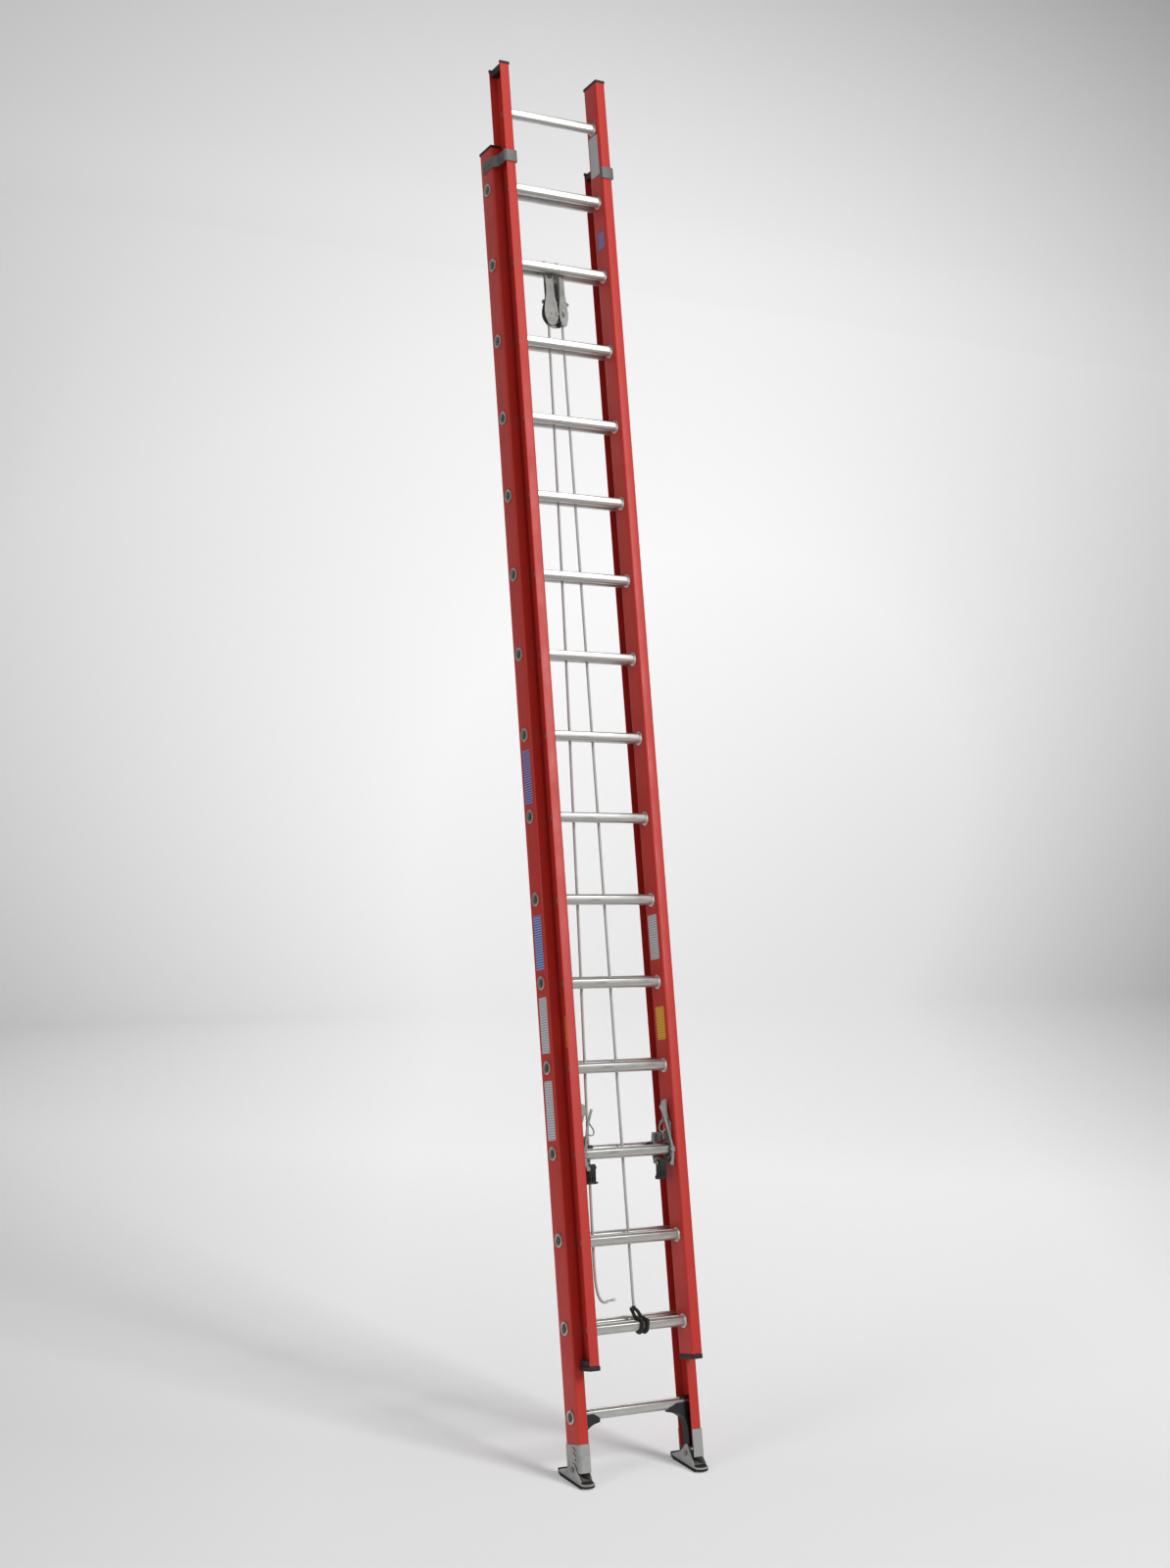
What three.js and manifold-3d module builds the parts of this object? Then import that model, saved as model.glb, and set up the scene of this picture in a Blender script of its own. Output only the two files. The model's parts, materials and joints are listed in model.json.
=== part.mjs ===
// Two-section extension ladder, leaning at its working angle with both shoes flat on z = 0.
// Units are millimetres. +X runs along the rungs, +Y towards the wall, +Z up.
// Every piece except the shoes is drawn in the ladder frame: x along the rungs, y square to the
// rails, z up the rails, with its zero at the middle of the base section's bottom rung.
import * as THREE from 'three';
import { mergeVertices } from 'three/addons/utils/BufferGeometryUtils.js';
import Module from 'manifold-3d';

const wasm = await Module();
wasm.setup();

// ---- driving dimensions ----
const LEAN = THREE.MathUtils.degToRad(14.5);  // lean back from vertical

const RUNG_COUNT = 16;       // rungs in each section
const RUNG_PITCH = 304.8;    // 12 in between rungs
const RUNG_DEPTH = 36;       // tread width, front to back
const RUNG_HEIGHT = 36;
const RUNG_CORNER = 4;       // radius of the two top edges
const RUNG_PROUD = 3;        // how far a rung end stands out of its web
const RUNG_FIT = 0.4;        // gap round a rung where it passes through a piece

const BASE_HALF_WIDTH = 253; // outer face of the base web
const FLY_STAGGER = 61;      // fly web's inner face inside the base web's outer face
const RAIL_DEPTH = 92;       // front to back
const RAIL_FLANGE = 40;      // across the web and flange
const RAIL_WALL = 4.5;
const RAIL_CORNER = 6;
const INTERLOCK_GAP = 5;     // between the overlapping base and fly flanges
const FLY_DROP = 13;         // locked fly rungs sit this far below the base rungs
const BASE_TOP = 164;        // rail above the top rung
const BASE_BOTTOM = 150;     // rail below the bottom rung
const FLY_TOP = 188;
const FLY_BOTTOM = 116;
const CAP_HEIGHT = 18;       // bottom end caps of the fly
const CAP_WRAP = 1.5;        // how far a cap stands out of its rail
const GAP = 0.3;             // between touching pieces

const PLATE = 3;             // sheet used for boots, guides and pulley cheeks
const BOOT_TOP = -91;        // boot's top edge
const PIN_BELOW = 176;       // shoe pivot below the bottom rung
const PIN_RADIUS = 5;
const PIN_FIT = 0.3;
const BOOT_BELOW_PIN = 12;
const SHOE_HEIGHT = 50;      // pivot above the floor
const SOLE_WALL = 6;
const PAD_HEIGHT = 14;
const SOLE_FRONT = 82;       // sole in front of and behind the pivot
const SOLE_BACK = 98;
const SOLE_OUT = 6;          // sole beyond the boot, outwards
const SOLE_IN = 6;           // sole beyond the flange tips, inwards
const SHOE_GAP = 1.2;        // side plates to boot
const SIDE_IN = [50, 30];    // inner side plate: half length at the sole, top above the pivot
const SIDE_OUT = [56, 22];
const PIN_HEAD = 5;          // pin head beyond the sole

const BRACE_REACH = 66;      // along the rung from the flange tips
const BRACE_DROP = 62;       // concave corner below the rung
const BRACE_WIDTH = 48;
const BRACE_INSET = 4.9;     // brace's foot, in from its edge at the web
const BRACE_UNDER = 8;       // of plastic below the rung
const BRACE_OVER = 6;        // and above it
const BRACE_TIP = 14;        // height of the brace's thin end
const BRACE_SWEEP = 16;      // control point of the concave edge, in from the arm

const GUIDE_HEIGHT = 46;
const GUIDE_BELOW_TOP = 46;  // guide's top edge below the base rail's top
const GUIDE_GAP = 2.5;       // guide to the sliding rail

const LOCK_RUNG = 3;         // fly rung that carries the locks
const LOCK_WIDTH = 20;
const LOCK_GAP = 3.5;        // lock to web
const LOCK_RING = 33;
const LOCK_SWING = 66;       // degrees from hooked to swung clear
const LOCK_SWEEP = 2.5;      // hook's nose to the base rung as it swings
const LOCK_NOSE = 14.5;
const LOCK_UP = 172;
const LOCK_DOWN = 62;
const FINGER_WIDTH = 28;
const FINGER_PIVOT = 46;     // below the rung

const PULLEY_RUNG = 15;      // base rung that carries the pulley
const PULLEY_X = -16.5;
const PULLEY_DROP = 185;     // sheave centre below that rung
const ROPE_RADIUS = 5;
const SHEAVE_PITCH = 28.5;   // radius of the rope's centre line
const SHEAVE_RADIUS = 35;
const SHEAVE_WIDTH = 16;
const CHEEK_GAP = 4;         // sheave to cheek
const CHEEK_LOBES = [[-52, 5], [11, 48]];  // the two front cheeks, from the sheave's centre
const CHEEK_BACK = 48;       // half width of the rear cheek
const CHEEK_BELOW = 12;      // below the sheave
const HOOK_X = [-24, 29];    // the two hooks over the rung
const HOOK_WIDTH = 14;
const HOOK_CLEAR = 7;        // hook's middle line to the rung
const CLAMP_WIDTH = 9;
const CLAMP_WALL = 4;
const CLAMP_UP = 60;
const CLAMP_GAP = 9;         // clamp's plate to the rope's centre plane
const CLAMP_BAR = 14;        // height of the bar that holds the rope

// ---- derived places ----
const SPACING = RAIL_DEPTH - 2 * RAIL_WALL - INTERLOCK_GAP;   // base to fly rung plane
const FLY_Y = -SPACING;
const FLY_HALF_CLEAR = BASE_HALF_WIDTH - FLY_STAGGER;         // inner face of the fly web
const FLY_Z = RUNG_PITCH - FLY_DROP;                          // fly rung 1
const ROPE_Y = -SPACING / 2;
const BASE_RAIL_TOP = (RUNG_COUNT - 1) * RUNG_PITCH + BASE_TOP;
const FLY_RAIL_TOP = FLY_Z + (RUNG_COUNT - 1) * RUNG_PITCH + FLY_TOP;
const BASE_TIP = BASE_HALF_WIDTH - RAIL_FLANGE;
const FLY_TIP = FLY_HALF_CLEAR + RAIL_FLANGE;
const BOOT_OUT = BASE_HALF_WIDTH + GAP + PLATE;
const SHEAVE_Z = (PULLEY_RUNG - 1) * RUNG_PITCH - PULLEY_DROP;
const SOLE_TOP = -(SHOE_HEIGHT - PAD_HEIGHT - SOLE_WALL);     // from the pivot

const PAINT = {
  fibreglass: { color: 0xc8443a, roughness: 0.42, metalness: 0.0 },
  aluminium: { color: 0xb9bab6, roughness: 0.38, metalness: 0.9 },
  steel: { color: 0x8d8f8c, roughness: 0.45, metalness: 0.9 },
  black: { color: 0x1c1c1c, roughness: 0.6, metalness: 0.0 },
  rubber: { color: 0x161616, roughness: 0.85, metalness: 0.0 },
  rope: { color: 0xb5b4ad, roughness: 0.9, metalness: 0.0 },
};

// ---- solid helpers ----
function bare(geometry) {
  geometry.deleteAttribute('normal');
  geometry.deleteAttribute('uv');
  return mergeVertices(geometry, 1e-4);
}

function solid(geometry) {
  const clean = bare(geometry);
  const mesh = new wasm.Mesh({
    numProp: 3,
    vertProperties: new Float32Array(clean.attributes.position.array),
    triVerts: new Uint32Array(clean.index.array),
  });
  return new wasm.Manifold(mesh);
}

function geometryOf(manifold) {
  const mesh = manifold.getMesh();
  const geometry = new THREE.BufferGeometry();
  geometry.setAttribute('position', new THREE.BufferAttribute(new Float32Array(mesh.vertProperties), 3));
  geometry.setIndex(new THREE.BufferAttribute(new Uint32Array(mesh.triVerts), 1));
  return geometry;
}

function join(parts) {
  return parts.reduce((sum, part) => sum.add(part));
}

const X_AXIS = new THREE.Vector3(1, 0, 0);
const Y_AXIS = new THREE.Vector3(0, 1, 0);
const Z_AXIS = new THREE.Vector3(0, 0, 1);

function extrude(shape, length, segments = 6) {
  const options = { depth: length, bevelEnabled: false, curveSegments: segments };
  return new THREE.ExtrudeGeometry(shape, options);
}

// A shape drawn in (y, z), run along x from low to high.
function prismX(shape, low, high, segments) {
  const geometry = extrude(shape, high - low, segments);
  geometry.applyMatrix4(new THREE.Matrix4().makeBasis(Y_AXIS, Z_AXIS, X_AXIS));
  return solid(geometry.translate(low, 0, 0));
}

// A shape drawn in (x, z), run along y from low to high.
function prismY(shape, low, high, segments) {
  const geometry = extrude(shape, high - low, segments);
  const back = Y_AXIS.clone().negate();
  geometry.applyMatrix4(new THREE.Matrix4().makeBasis(X_AXIS, Z_AXIS, back));
  return solid(geometry.translate(0, high, 0));
}

// A shape drawn in (x, y), run along z from low to high.
function prismZ(shape, low, high, segments) {
  return solid(extrude(shape, high - low, segments).translate(0, 0, low));
}

function box(x0, x1, y0, y1, z0, z1) {
  const geometry = new THREE.BoxGeometry(x1 - x0, y1 - y0, z1 - z0);
  return solid(geometry.translate((x0 + x1) / 2, (y0 + y1) / 2, (z0 + z1) / 2));
}

function barX(radius, low, high, y, z, sides = 16) {
  const geometry = new THREE.CylinderGeometry(radius, radius, high - low, sides);
  return solid(geometry.rotateZ(Math.PI / 2).translate((low + high) / 2, y, z));
}

function barY(radius, low, high, x, z, sides = 20) {
  const geometry = new THREE.CylinderGeometry(radius, radius, high - low, sides);
  return solid(geometry.translate(x, (low + high) / 2, z));
}

function polygon(points) {
  return new THREE.Shape(points.map(([a, b]) => new THREE.Vector2(a, b)));
}

// ---- outlines ----
function arcPoints(a, b, radius, from, to, steps) {
  return Array.from({ length: steps + 1 }, (_, index) => {
    const turn = from + (to - from) * (index / steps);
    return [a + radius * Math.cos(turn), b + radius * Math.sin(turn)];
  });
}

// Rung section in (y, z): flat tread on top, half-round below, turned so that the tread is level.
function rungShape(grow, y = 0, z = 0) {
  const half = RUNG_DEPTH / 2 + grow;
  const corner = RUNG_CORNER + grow;
  const level = RUNG_HEIGHT - RUNG_DEPTH / 2 + grow - corner;
  const outline = [
    ...arcPoints(0, 0, half, Math.PI, 2 * Math.PI, 8),
    ...arcPoints(half - corner, level, corner, 0, Math.PI / 2, 2),
    ...arcPoints(-half + corner, level, corner, Math.PI / 2, Math.PI, 2),
  ];
  const cosine = Math.cos(LEAN);
  const sine = Math.sin(LEAN);
  return polygon(outline.map(([a, b]) => [y + a * cosine - b * sine, z + a * sine + b * cosine]));
}

// Channel section in (x, y): web towards +x from the flange tips, drawn for a web face at x = 0.
function channelShape(webFace, flangeWay, depth, flange, wall, corner, y) {
  const half = depth / 2;
  const at = (inwards, side) => [webFace + flangeWay * inwards, y + side];
  const round = (side) => {
    const points = [];
    for (let step = 0; step <= 3; step += 1) {
      const turn = (step / 3) * Math.PI / 2;
      const inwards = corner * (1 - Math.sin(turn));
      const across = half - corner * (1 - Math.cos(turn));
      points.push(at(inwards, side * across));
    }
    return points;
  };
  return polygon([
    ...round(-1), ...round(1).reverse(),
    at(flange, half), at(flange, half - wall), at(wall, half - wall),
    at(wall, -half + wall), at(flange, -half + wall), at(flange, -half),
  ]);
}

// A bent strip of even thickness along a path drawn in a plane.
function stripShape(path, thickness) {
  const points = path.map(([a, b]) => new THREE.Vector2(a, b));
  const side = (sign) => points.map((point, index) => {
    const before = points[Math.max(index - 1, 0)];
    const after = points[Math.min(index + 1, points.length - 1)];
    const into = point.clone().sub(before);
    const out = after.clone().sub(point);
    const first = (into.length() > 0 ? into : out).clone().normalize();
    const second = (out.length() > 0 ? out : into).clone().normalize();
    const along = first.clone().add(second).normalize();
    const reach = thickness / 2 / Math.max(along.dot(first), 0.3);
    return [point.x - sign * along.y * reach, point.y + sign * along.x * reach];
  });
  return polygon([...side(1), ...side(-1).reverse()]);
}

// ---- assembly ----
const ladder = new THREE.Group();

function bootFrame(geometry) {
  return geometry.translate(0, 0, PIN_BELOW).rotateX(-LEAN).translate(0, 0, SHOE_HEIGHT);
}

function addMesh(name, geometry, paint) {
  const mesh = new THREE.Mesh(geometry, new THREE.MeshStandardMaterial(PAINT[paint]));
  mesh.name = name;
  ladder.add(mesh);
}

// A piece drawn in the ladder frame.
function add(name, manifold, paint) {
  addMesh(name, bootFrame(geometryOf(manifold)), paint);
}

// A right-hand piece and its mirror image, drawn in the ladder frame.
function addPair(name, manifold, paint) {
  add(`${name}_right`, manifold, paint);
  add(`${name}_left`, manifold.mirror([1, 0, 0]), paint);
}

// A right-hand shoe piece and its mirror image, drawn about the pivot with the sole level.
function addShoePair(name, manifold, paint) {
  const lift = [0, 0, SHOE_HEIGHT];
  addMesh(`${name}_right`, geometryOf(manifold.translate(lift)), paint);
  addMesh(`${name}_left`, geometryOf(manifold.mirror([1, 0, 0]).translate(lift)), paint);
}

function rungLevels(start) {
  return Array.from({ length: RUNG_COUNT }, (_, index) => start + index * RUNG_PITCH);
}

// ---- rails and rungs ----
function rail(webFace, flangeWay, y, bottom, top, levels) {
  const section = channelShape(webFace, flangeWay, RAIL_DEPTH, RAIL_FLANGE, RAIL_WALL, RAIL_CORNER, y);
  const channel = prismZ(section, bottom, top);
  const near = Math.min(webFace, webFace + flangeWay * RAIL_WALL) - 1;
  const holes = levels.map((z) => prismX(rungShape(RUNG_FIT, y, z), near, near + RAIL_WALL + 2));
  return channel.subtract(join(holes));
}

function addRungs(section, y, levels, halfLength) {
  levels.forEach((z, index) => {
    const number = String(index + 1).padStart(2, '0');
    add(`${section}_rung_${number}`, prismX(rungShape(0, y, z), -halfLength, halfLength), 'aluminium');
  });
}

const baseLevels = rungLevels(0);
const flyLevels = rungLevels(FLY_Z);
const flyBottom = FLY_Z - FLY_BOTTOM;
addPair('base_rail', rail(BASE_HALF_WIDTH, -1, 0, -BASE_BOTTOM, BASE_RAIL_TOP, baseLevels), 'fibreglass');
addPair('fly_rail', rail(FLY_HALF_CLEAR, 1, FLY_Y, flyBottom, FLY_RAIL_TOP, flyLevels), 'fibreglass');
addRungs('base', 0, baseLevels, BASE_HALF_WIDTH + RUNG_PROUD);
addRungs('fly', FLY_Y, flyLevels, FLY_HALF_CLEAR + RAIL_WALL + RUNG_PROUD);

// ---- fly bottom caps: a block under the rail, notched for the base flange ----
function flyCap() {
  const top = flyBottom - GAP;
  const inner = FLY_HALF_CLEAR - CAP_WRAP;
  const front = FLY_Y - RAIL_DEPTH / 2 - CAP_WRAP;
  const back = FLY_Y + RAIL_DEPTH / 2 + CAP_WRAP;
  const notch = -RAIL_DEPTH / 2 - INTERLOCK_GAP;
  const step = BASE_TIP - INTERLOCK_GAP;
  const outline = polygon([
    [inner, front], [FLY_TIP + CAP_WRAP, front], [FLY_TIP + CAP_WRAP, notch],
    [step, notch], [step, back], [inner, back],
  ]);
  return prismZ(outline, top - CAP_HEIGHT, top);
}
addPair('fly_bottom_cap', flyCap(), 'black');

// ---- guide brackets: fixed to the base web, stepping in and round the fly's front flange ----
function guideBracket() {
  const outer = BASE_HALF_WIDTH + GAP + PLATE / 2;
  const beside = FLY_TIP + GUIDE_GAP + PLATE / 2;
  const front = FLY_Y - RAIL_DEPTH / 2 - GUIDE_GAP - PLATE / 2;
  const inside = FLY_HALF_CLEAR - GUIDE_GAP - PLATE / 2;
  const stepBack = -RAIL_DEPTH / 2 - PLATE;
  const path = [
    [outer, RAIL_DEPTH / 4], [outer, stepBack], [beside, stepBack - (outer - beside)],
    [beside, front], [inside, front], [inside, front + 4 * PLATE],
  ];
  const top = BASE_RAIL_TOP - GUIDE_BELOW_TOP;
  return prismZ(stripShape(path, PLATE), top - GUIDE_HEIGHT, top);
}
addPair('guide_bracket', guideBracket(), 'steel');

// ---- braces under the bottom rung ----
function brace() {
  const tip = BASE_TIP - BRACE_REACH;
  const web = BASE_HALF_WIDTH - RAIL_WALL - GAP;
  const arm = BASE_TIP + GAP;
  const top = RUNG_HEIGHT / 2 + BRACE_OVER;
  const under = -RUNG_HEIGHT / 2 - BRACE_UNDER;
  const foot = -PIN_BELOW + 2 * PIN_RADIUS + BOOT_BELOW_PIN;
  const shape = new THREE.Shape();
  shape.moveTo(tip, under);
  shape.quadraticCurveTo(arm - BRACE_SWEEP, under - BRACE_SWEEP / 4, arm, under - BRACE_DROP);
  shape.lineTo(arm, foot);
  shape.lineTo(web - BRACE_INSET, foot);
  shape.lineTo(web, under - BRACE_DROP);
  shape.lineTo(web, top);
  shape.lineTo(arm, top);
  shape.lineTo(tip, under + BRACE_TIP);
  const block = prismY(shape, -BRACE_WIDTH / 2, BRACE_WIDTH / 2, 8);
  return block.subtract(prismX(rungShape(GAP), tip - 1, web + 1));
}
addPair('brace', brace(), 'black');

// ---- boots on the rail ends ----
function boot() {
  const flange = BOOT_OUT - BASE_TIP;
  const depth = RAIL_DEPTH + 2 * (GAP + PLATE);
  const section = channelShape(BOOT_OUT, -1, depth, flange, PLATE, RAIL_CORNER + PLATE, 0);
  const sleeve = prismZ(section, -PIN_BELOW - BOOT_BELOW_PIN, BOOT_TOP);
  const hole = barX(PIN_RADIUS + PIN_FIT, BOOT_OUT - PLATE - 1, BOOT_OUT + 1, 0, -PIN_BELOW);
  return sleeve.subtract(hole);
}
addPair('boot', boot(), 'aluminium');

// ---- shoes, drawn about the pivot with the sole level ----
const SHOE_INNER = BASE_TIP - SOLE_IN;
const SHOE_OUTER = BOOT_OUT + SOLE_OUT;

function soleOutline(margin) {
  const inner = SHOE_INNER + margin;
  const outer = SHOE_OUTER - margin;
  const front = -SOLE_FRONT + margin;
  const back = SOLE_BACK - margin;
  const width = outer - inner;
  const shape = new THREE.Shape();
  shape.moveTo(inner, back);
  shape.lineTo(inner, front + width / 3);
  shape.quadraticCurveTo(inner + 3, front, inner + width / 2, front);
  shape.quadraticCurveTo(outer - 3, front, outer, front + width / 3);
  shape.lineTo(outer, back);
  return shape;
}

function sidePlate(low, high, spread, top) {
  const outline = polygon([
    [-spread, SOLE_TOP - 1], [spread, SOLE_TOP - 1], [top * 0.6, top], [-top * 0.6, top],
  ]);
  return prismX(outline, low, high);
}

function shoe() {
  const sole = prismZ(soleOutline(0), SOLE_TOP - SOLE_WALL, SOLE_TOP);
  const inner = sidePlate(BASE_TIP - SHOE_GAP - PLATE, BASE_TIP - SHOE_GAP, ...SIDE_IN);
  const outer = sidePlate(BOOT_OUT + SHOE_GAP, BOOT_OUT + SHOE_GAP + PLATE, ...SIDE_OUT);
  const bore = barX(PIN_RADIUS + PIN_FIT, SHOE_INNER - 1, SHOE_OUTER + 1, 0, 0);
  return join([sole, inner, outer]).subtract(bore);
}

function shoePad() {
  const top = SOLE_TOP - SOLE_WALL - GAP;
  return prismZ(soleOutline(1), -SHOE_HEIGHT, top);
}

function shoePin() {
  const shank = barX(PIN_RADIUS, SHOE_INNER - 2, SHOE_OUTER + 2, 0, 0);
  const head = barX(PIN_RADIUS * 1.8, BOOT_OUT + SHOE_GAP + PLATE + GAP, SHOE_OUTER + PIN_HEAD, 0, 0, 6);
  const nut = barX(PIN_RADIUS * 1.8, SHOE_INNER - PIN_HEAD - 1, BASE_TIP - SHOE_GAP - PLATE - GAP, 0, 0, 6);
  return join([shank, head, nut]);
}
addShoePair('shoe', shoe(), 'aluminium');
addShoePair('shoe_pad', shoePad(), 'rubber');
addShoePair('shoe_pin', shoePin(), 'steel');

// ---- rung locks: each turns on fly rung LOCK_RUNG; drawn swung clear of the base rungs ----
const lockZ = FLY_Z + (LOCK_RUNG - 1) * RUNG_PITCH;
const lockOuter = FLY_HALF_CLEAR - LOCK_GAP;
const lockInner = lockOuter - LOCK_WIDTH;

function lockPlate(points, low = lockInner, high = lockOuter) {
  return prismX(polygon(points.map(([y, z]) => [FLY_Y + y, lockZ + z])), low, high);
}

// a point at a reach and an angle (degrees from straight back) about the fly rung
function polar(reach, degrees) {
  const turn = THREE.MathUtils.degToRad(degrees);
  return [reach * Math.cos(turn), reach * Math.sin(turn)];
}

// a top corner of the base rung, seen from the fly rung: front (-1) or back (1)
function treadCorner(side) {
  const along = side * RUNG_DEPTH / 2;
  const up = RUNG_HEIGHT / 2;
  const back = SPACING + along * Math.cos(LEAN) - up * Math.sin(LEAN);
  const rise = FLY_DROP + along * Math.sin(LEAN) + up * Math.cos(LEAN);
  return { reach: Math.hypot(back, rise), angle: THREE.MathUtils.radToDeg(Math.atan2(rise, back)) };
}

// hook over the base rung, turned up by LOCK_SWING
function lockHook() {
  const near = treadCorner(-1);
  const far = treadCorner(1);
  const inner = far.reach + LOCK_SWEEP;
  const outer = inner + LOCK_NOSE;
  const turned = (reach, degrees) => polar(reach, degrees + LOCK_SWING);
  return lockPlate([
    turned(near.reach - 8, near.angle + 3), turned(inner, far.angle + 1.5), turned(inner, far.angle - 12),
    turned(inner, far.angle - 23), turned(outer, far.angle - 23), turned(outer, far.angle - 8),
    turned(outer, far.angle + 9), turned(inner, far.angle + 16), turned(near.reach, near.angle + 22),
    polar(LOCK_RING / 2, 150), polar(LOCK_RING / 2, 30),
  ]);
}

function lock() {
  const bore = Math.hypot(RUNG_DEPTH / 2, RUNG_HEIGHT / 2);
  const ring = barX(LOCK_RING, lockInner, lockOuter, FLY_Y, lockZ, 24);
  const lever = lockPlate([
    [-14, 60], [-2, 60], [4, 100], [14, 118], [26, 150], [16, LOCK_UP], [0, LOCK_UP - 4], [-10, 120],
  ]);
  const tail = lockPlate([[-15, -10], [15, -10], [11, -LOCK_DOWN], [-9, -LOCK_DOWN]]);
  const pin = barX(PIN_RADIUS, lockInner - FINGER_WIDTH / 2, lockInner + 2, FLY_Y, lockZ - FINGER_PIVOT);
  const around = barX(bore + RUNG_FIT, lockInner - 1, lockOuter + 1, FLY_Y, lockZ, 24);
  return join([ring, lockHook(), lever, tail, pin]).subtract(around);
}

function finger() {
  const pivot = lockZ - FINGER_PIVOT;
  const body = lockPlate([
    [-14, -31], [14, -31], [16, -60], [20, -97], [12, -104], [-10, -100], [-14, -60],
  ], lockInner - GAP - FINGER_WIDTH, lockInner - GAP);
  const bore = barX(PIN_RADIUS + PIN_FIT, lockInner - FINGER_WIDTH - 2, lockInner + 1, FLY_Y, pivot);
  return body.subtract(bore);
}
addPair('rung_lock', lock(), 'steel');
addPair('lock_finger', finger(), 'black');

// ---- pulley: hangs on base rung PULLEY_RUNG, between the two sections ----
const pulleyZ = (PULLEY_RUNG - 1) * RUNG_PITCH;
const cheekReach = SHEAVE_WIDTH / 2 + CHEEK_GAP;
const cheekFront = ROPE_Y - cheekReach - PLATE;
const cheekBack = ROPE_Y + cheekReach;

function cheekShape(left, right) {
  const middle = (left + right) / 2;
  const half = (right - left) / 2;
  const low = -SHEAVE_RADIUS - CHEEK_BELOW;
  const shape = new THREE.Shape();
  shape.moveTo(middle - half * 0.72, PULLEY_DROP - 20);
  shape.lineTo(middle - half * 0.72, 70);
  shape.quadraticCurveTo(left, 40, left, 0);
  shape.quadraticCurveTo(left, low * 0.75, middle - half * 0.35, low);
  shape.lineTo(middle + half * 0.35, low);
  shape.quadraticCurveTo(right, low * 0.75, right, 0);
  shape.quadraticCurveTo(right, 40, middle + half * 0.72, 70);
  shape.lineTo(middle + half * 0.72, PULLEY_DROP - 20);
  return polygon(shape.getPoints(6).map((point) => [PULLEY_X + point.x, SHEAVE_Z + point.y]));
}

function hookArm(x) {
  const inner = RUNG_DEPTH / 2 + HOOK_CLEAR;
  const front = cheekBack + 1;
  const path = [[front, -RUNG_HEIGHT / 2 - 60], [front, 4]];
  for (let step = 0; step <= 6; step += 1) {
    const turn = Math.PI * (1 - step / 6);
    path.push([inner * Math.cos(turn), 12 + inner * Math.sin(turn)]);
  }
  path.push([inner - 2, -2]);
  const shape = stripShape(path.map(([y, z]) => [y, pulleyZ + z]), PLATE + 1);
  return prismX(shape, x - HOOK_WIDTH / 2, x + HOOK_WIDTH / 2);
}

function pulleyFrame() {
  const parts = CHEEK_LOBES.flatMap(([left, right]) => {
    const wide = (right - left) / 2;
    const x = PULLEY_X + (left + right) / 2;
    const window = box(x - wide * 0.4, x + wide * 0.4, cheekFront - 1, cheekFront + PLATE + 1,
      pulleyZ - 44, pulleyZ - 26);
    const front = prismY(cheekShape(left, right), cheekFront, cheekFront + PLATE).subtract(window);
    const spacer = box(x - wide * 0.6, x + wide * 0.6, cheekFront + 1, cheekBack + 1,
      SHEAVE_Z + SHEAVE_RADIUS + CHEEK_GAP, SHEAVE_Z + SHEAVE_RADIUS + CHEEK_GAP + 24);
    return [front, spacer];
  });
  const back = prismY(cheekShape(-CHEEK_BACK, CHEEK_BACK), cheekBack, cheekBack + PLATE);
  const boltZ = SHEAVE_Z + SHEAVE_RADIUS + 16;
  const bolt = barX(PIN_RADIUS, PULLEY_X - CHEEK_BACK, PULLEY_X + CHEEK_BACK + HOOK_WIDTH, ROPE_Y, boltZ);
  const hooks = HOOK_X.map((x) => hookArm(PULLEY_X + x));
  const bore = barY(PIN_RADIUS + PIN_FIT, cheekFront - 1, cheekBack + PLATE + 1, PULLEY_X, SHEAVE_Z);
  return join([...parts, back, bolt, ...hooks]).subtract(bore);
}

function sheave() {
  const half = SHEAVE_WIDTH / 2;
  const groove = SHEAVE_PITCH - ROPE_RADIUS - 2 * GAP;
  const bore = PIN_RADIUS + PIN_FIT;
  const lip = ROPE_RADIUS + 2 * GAP;
  const bed = lip / 2;
  const profile = [
    [bore, -half], [SHEAVE_RADIUS, -half], [SHEAVE_RADIUS, -lip], [groove + bed, -lip], [groove, -bed],
    [groove, bed], [groove + bed, lip], [SHEAVE_RADIUS, lip], [SHEAVE_RADIUS, half], [bore, half],
    [bore, -half],
  ];
  const lathe = new THREE.LatheGeometry(profile.map(([r, y]) => new THREE.Vector2(r, y)), 28);
  return solid(lathe.translate(PULLEY_X, ROPE_Y, SHEAVE_Z));
}

function sheaveAxle() {
  const head = PIN_RADIUS * 1.5;
  const shank = barY(PIN_RADIUS, cheekFront - 1, cheekBack + PLATE + 1, PULLEY_X, SHEAVE_Z);
  const front = barY(head, cheekFront - 3, cheekFront - GAP, PULLEY_X, SHEAVE_Z);
  const back = barY(head, cheekBack + PLATE + GAP, cheekBack + PLATE + 3, PULLEY_X, SHEAVE_Z);
  return join([shank, front, back]);
}
add('pulley_frame', pulleyFrame(), 'steel');
add('pulley_sheave', sheave(), 'black');
add('pulley_axle', sheaveAxle(), 'steel');

// ---- rope clamp on fly rung 1 ----
const tautX = PULLEY_X + SHEAVE_PITCH;

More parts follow.
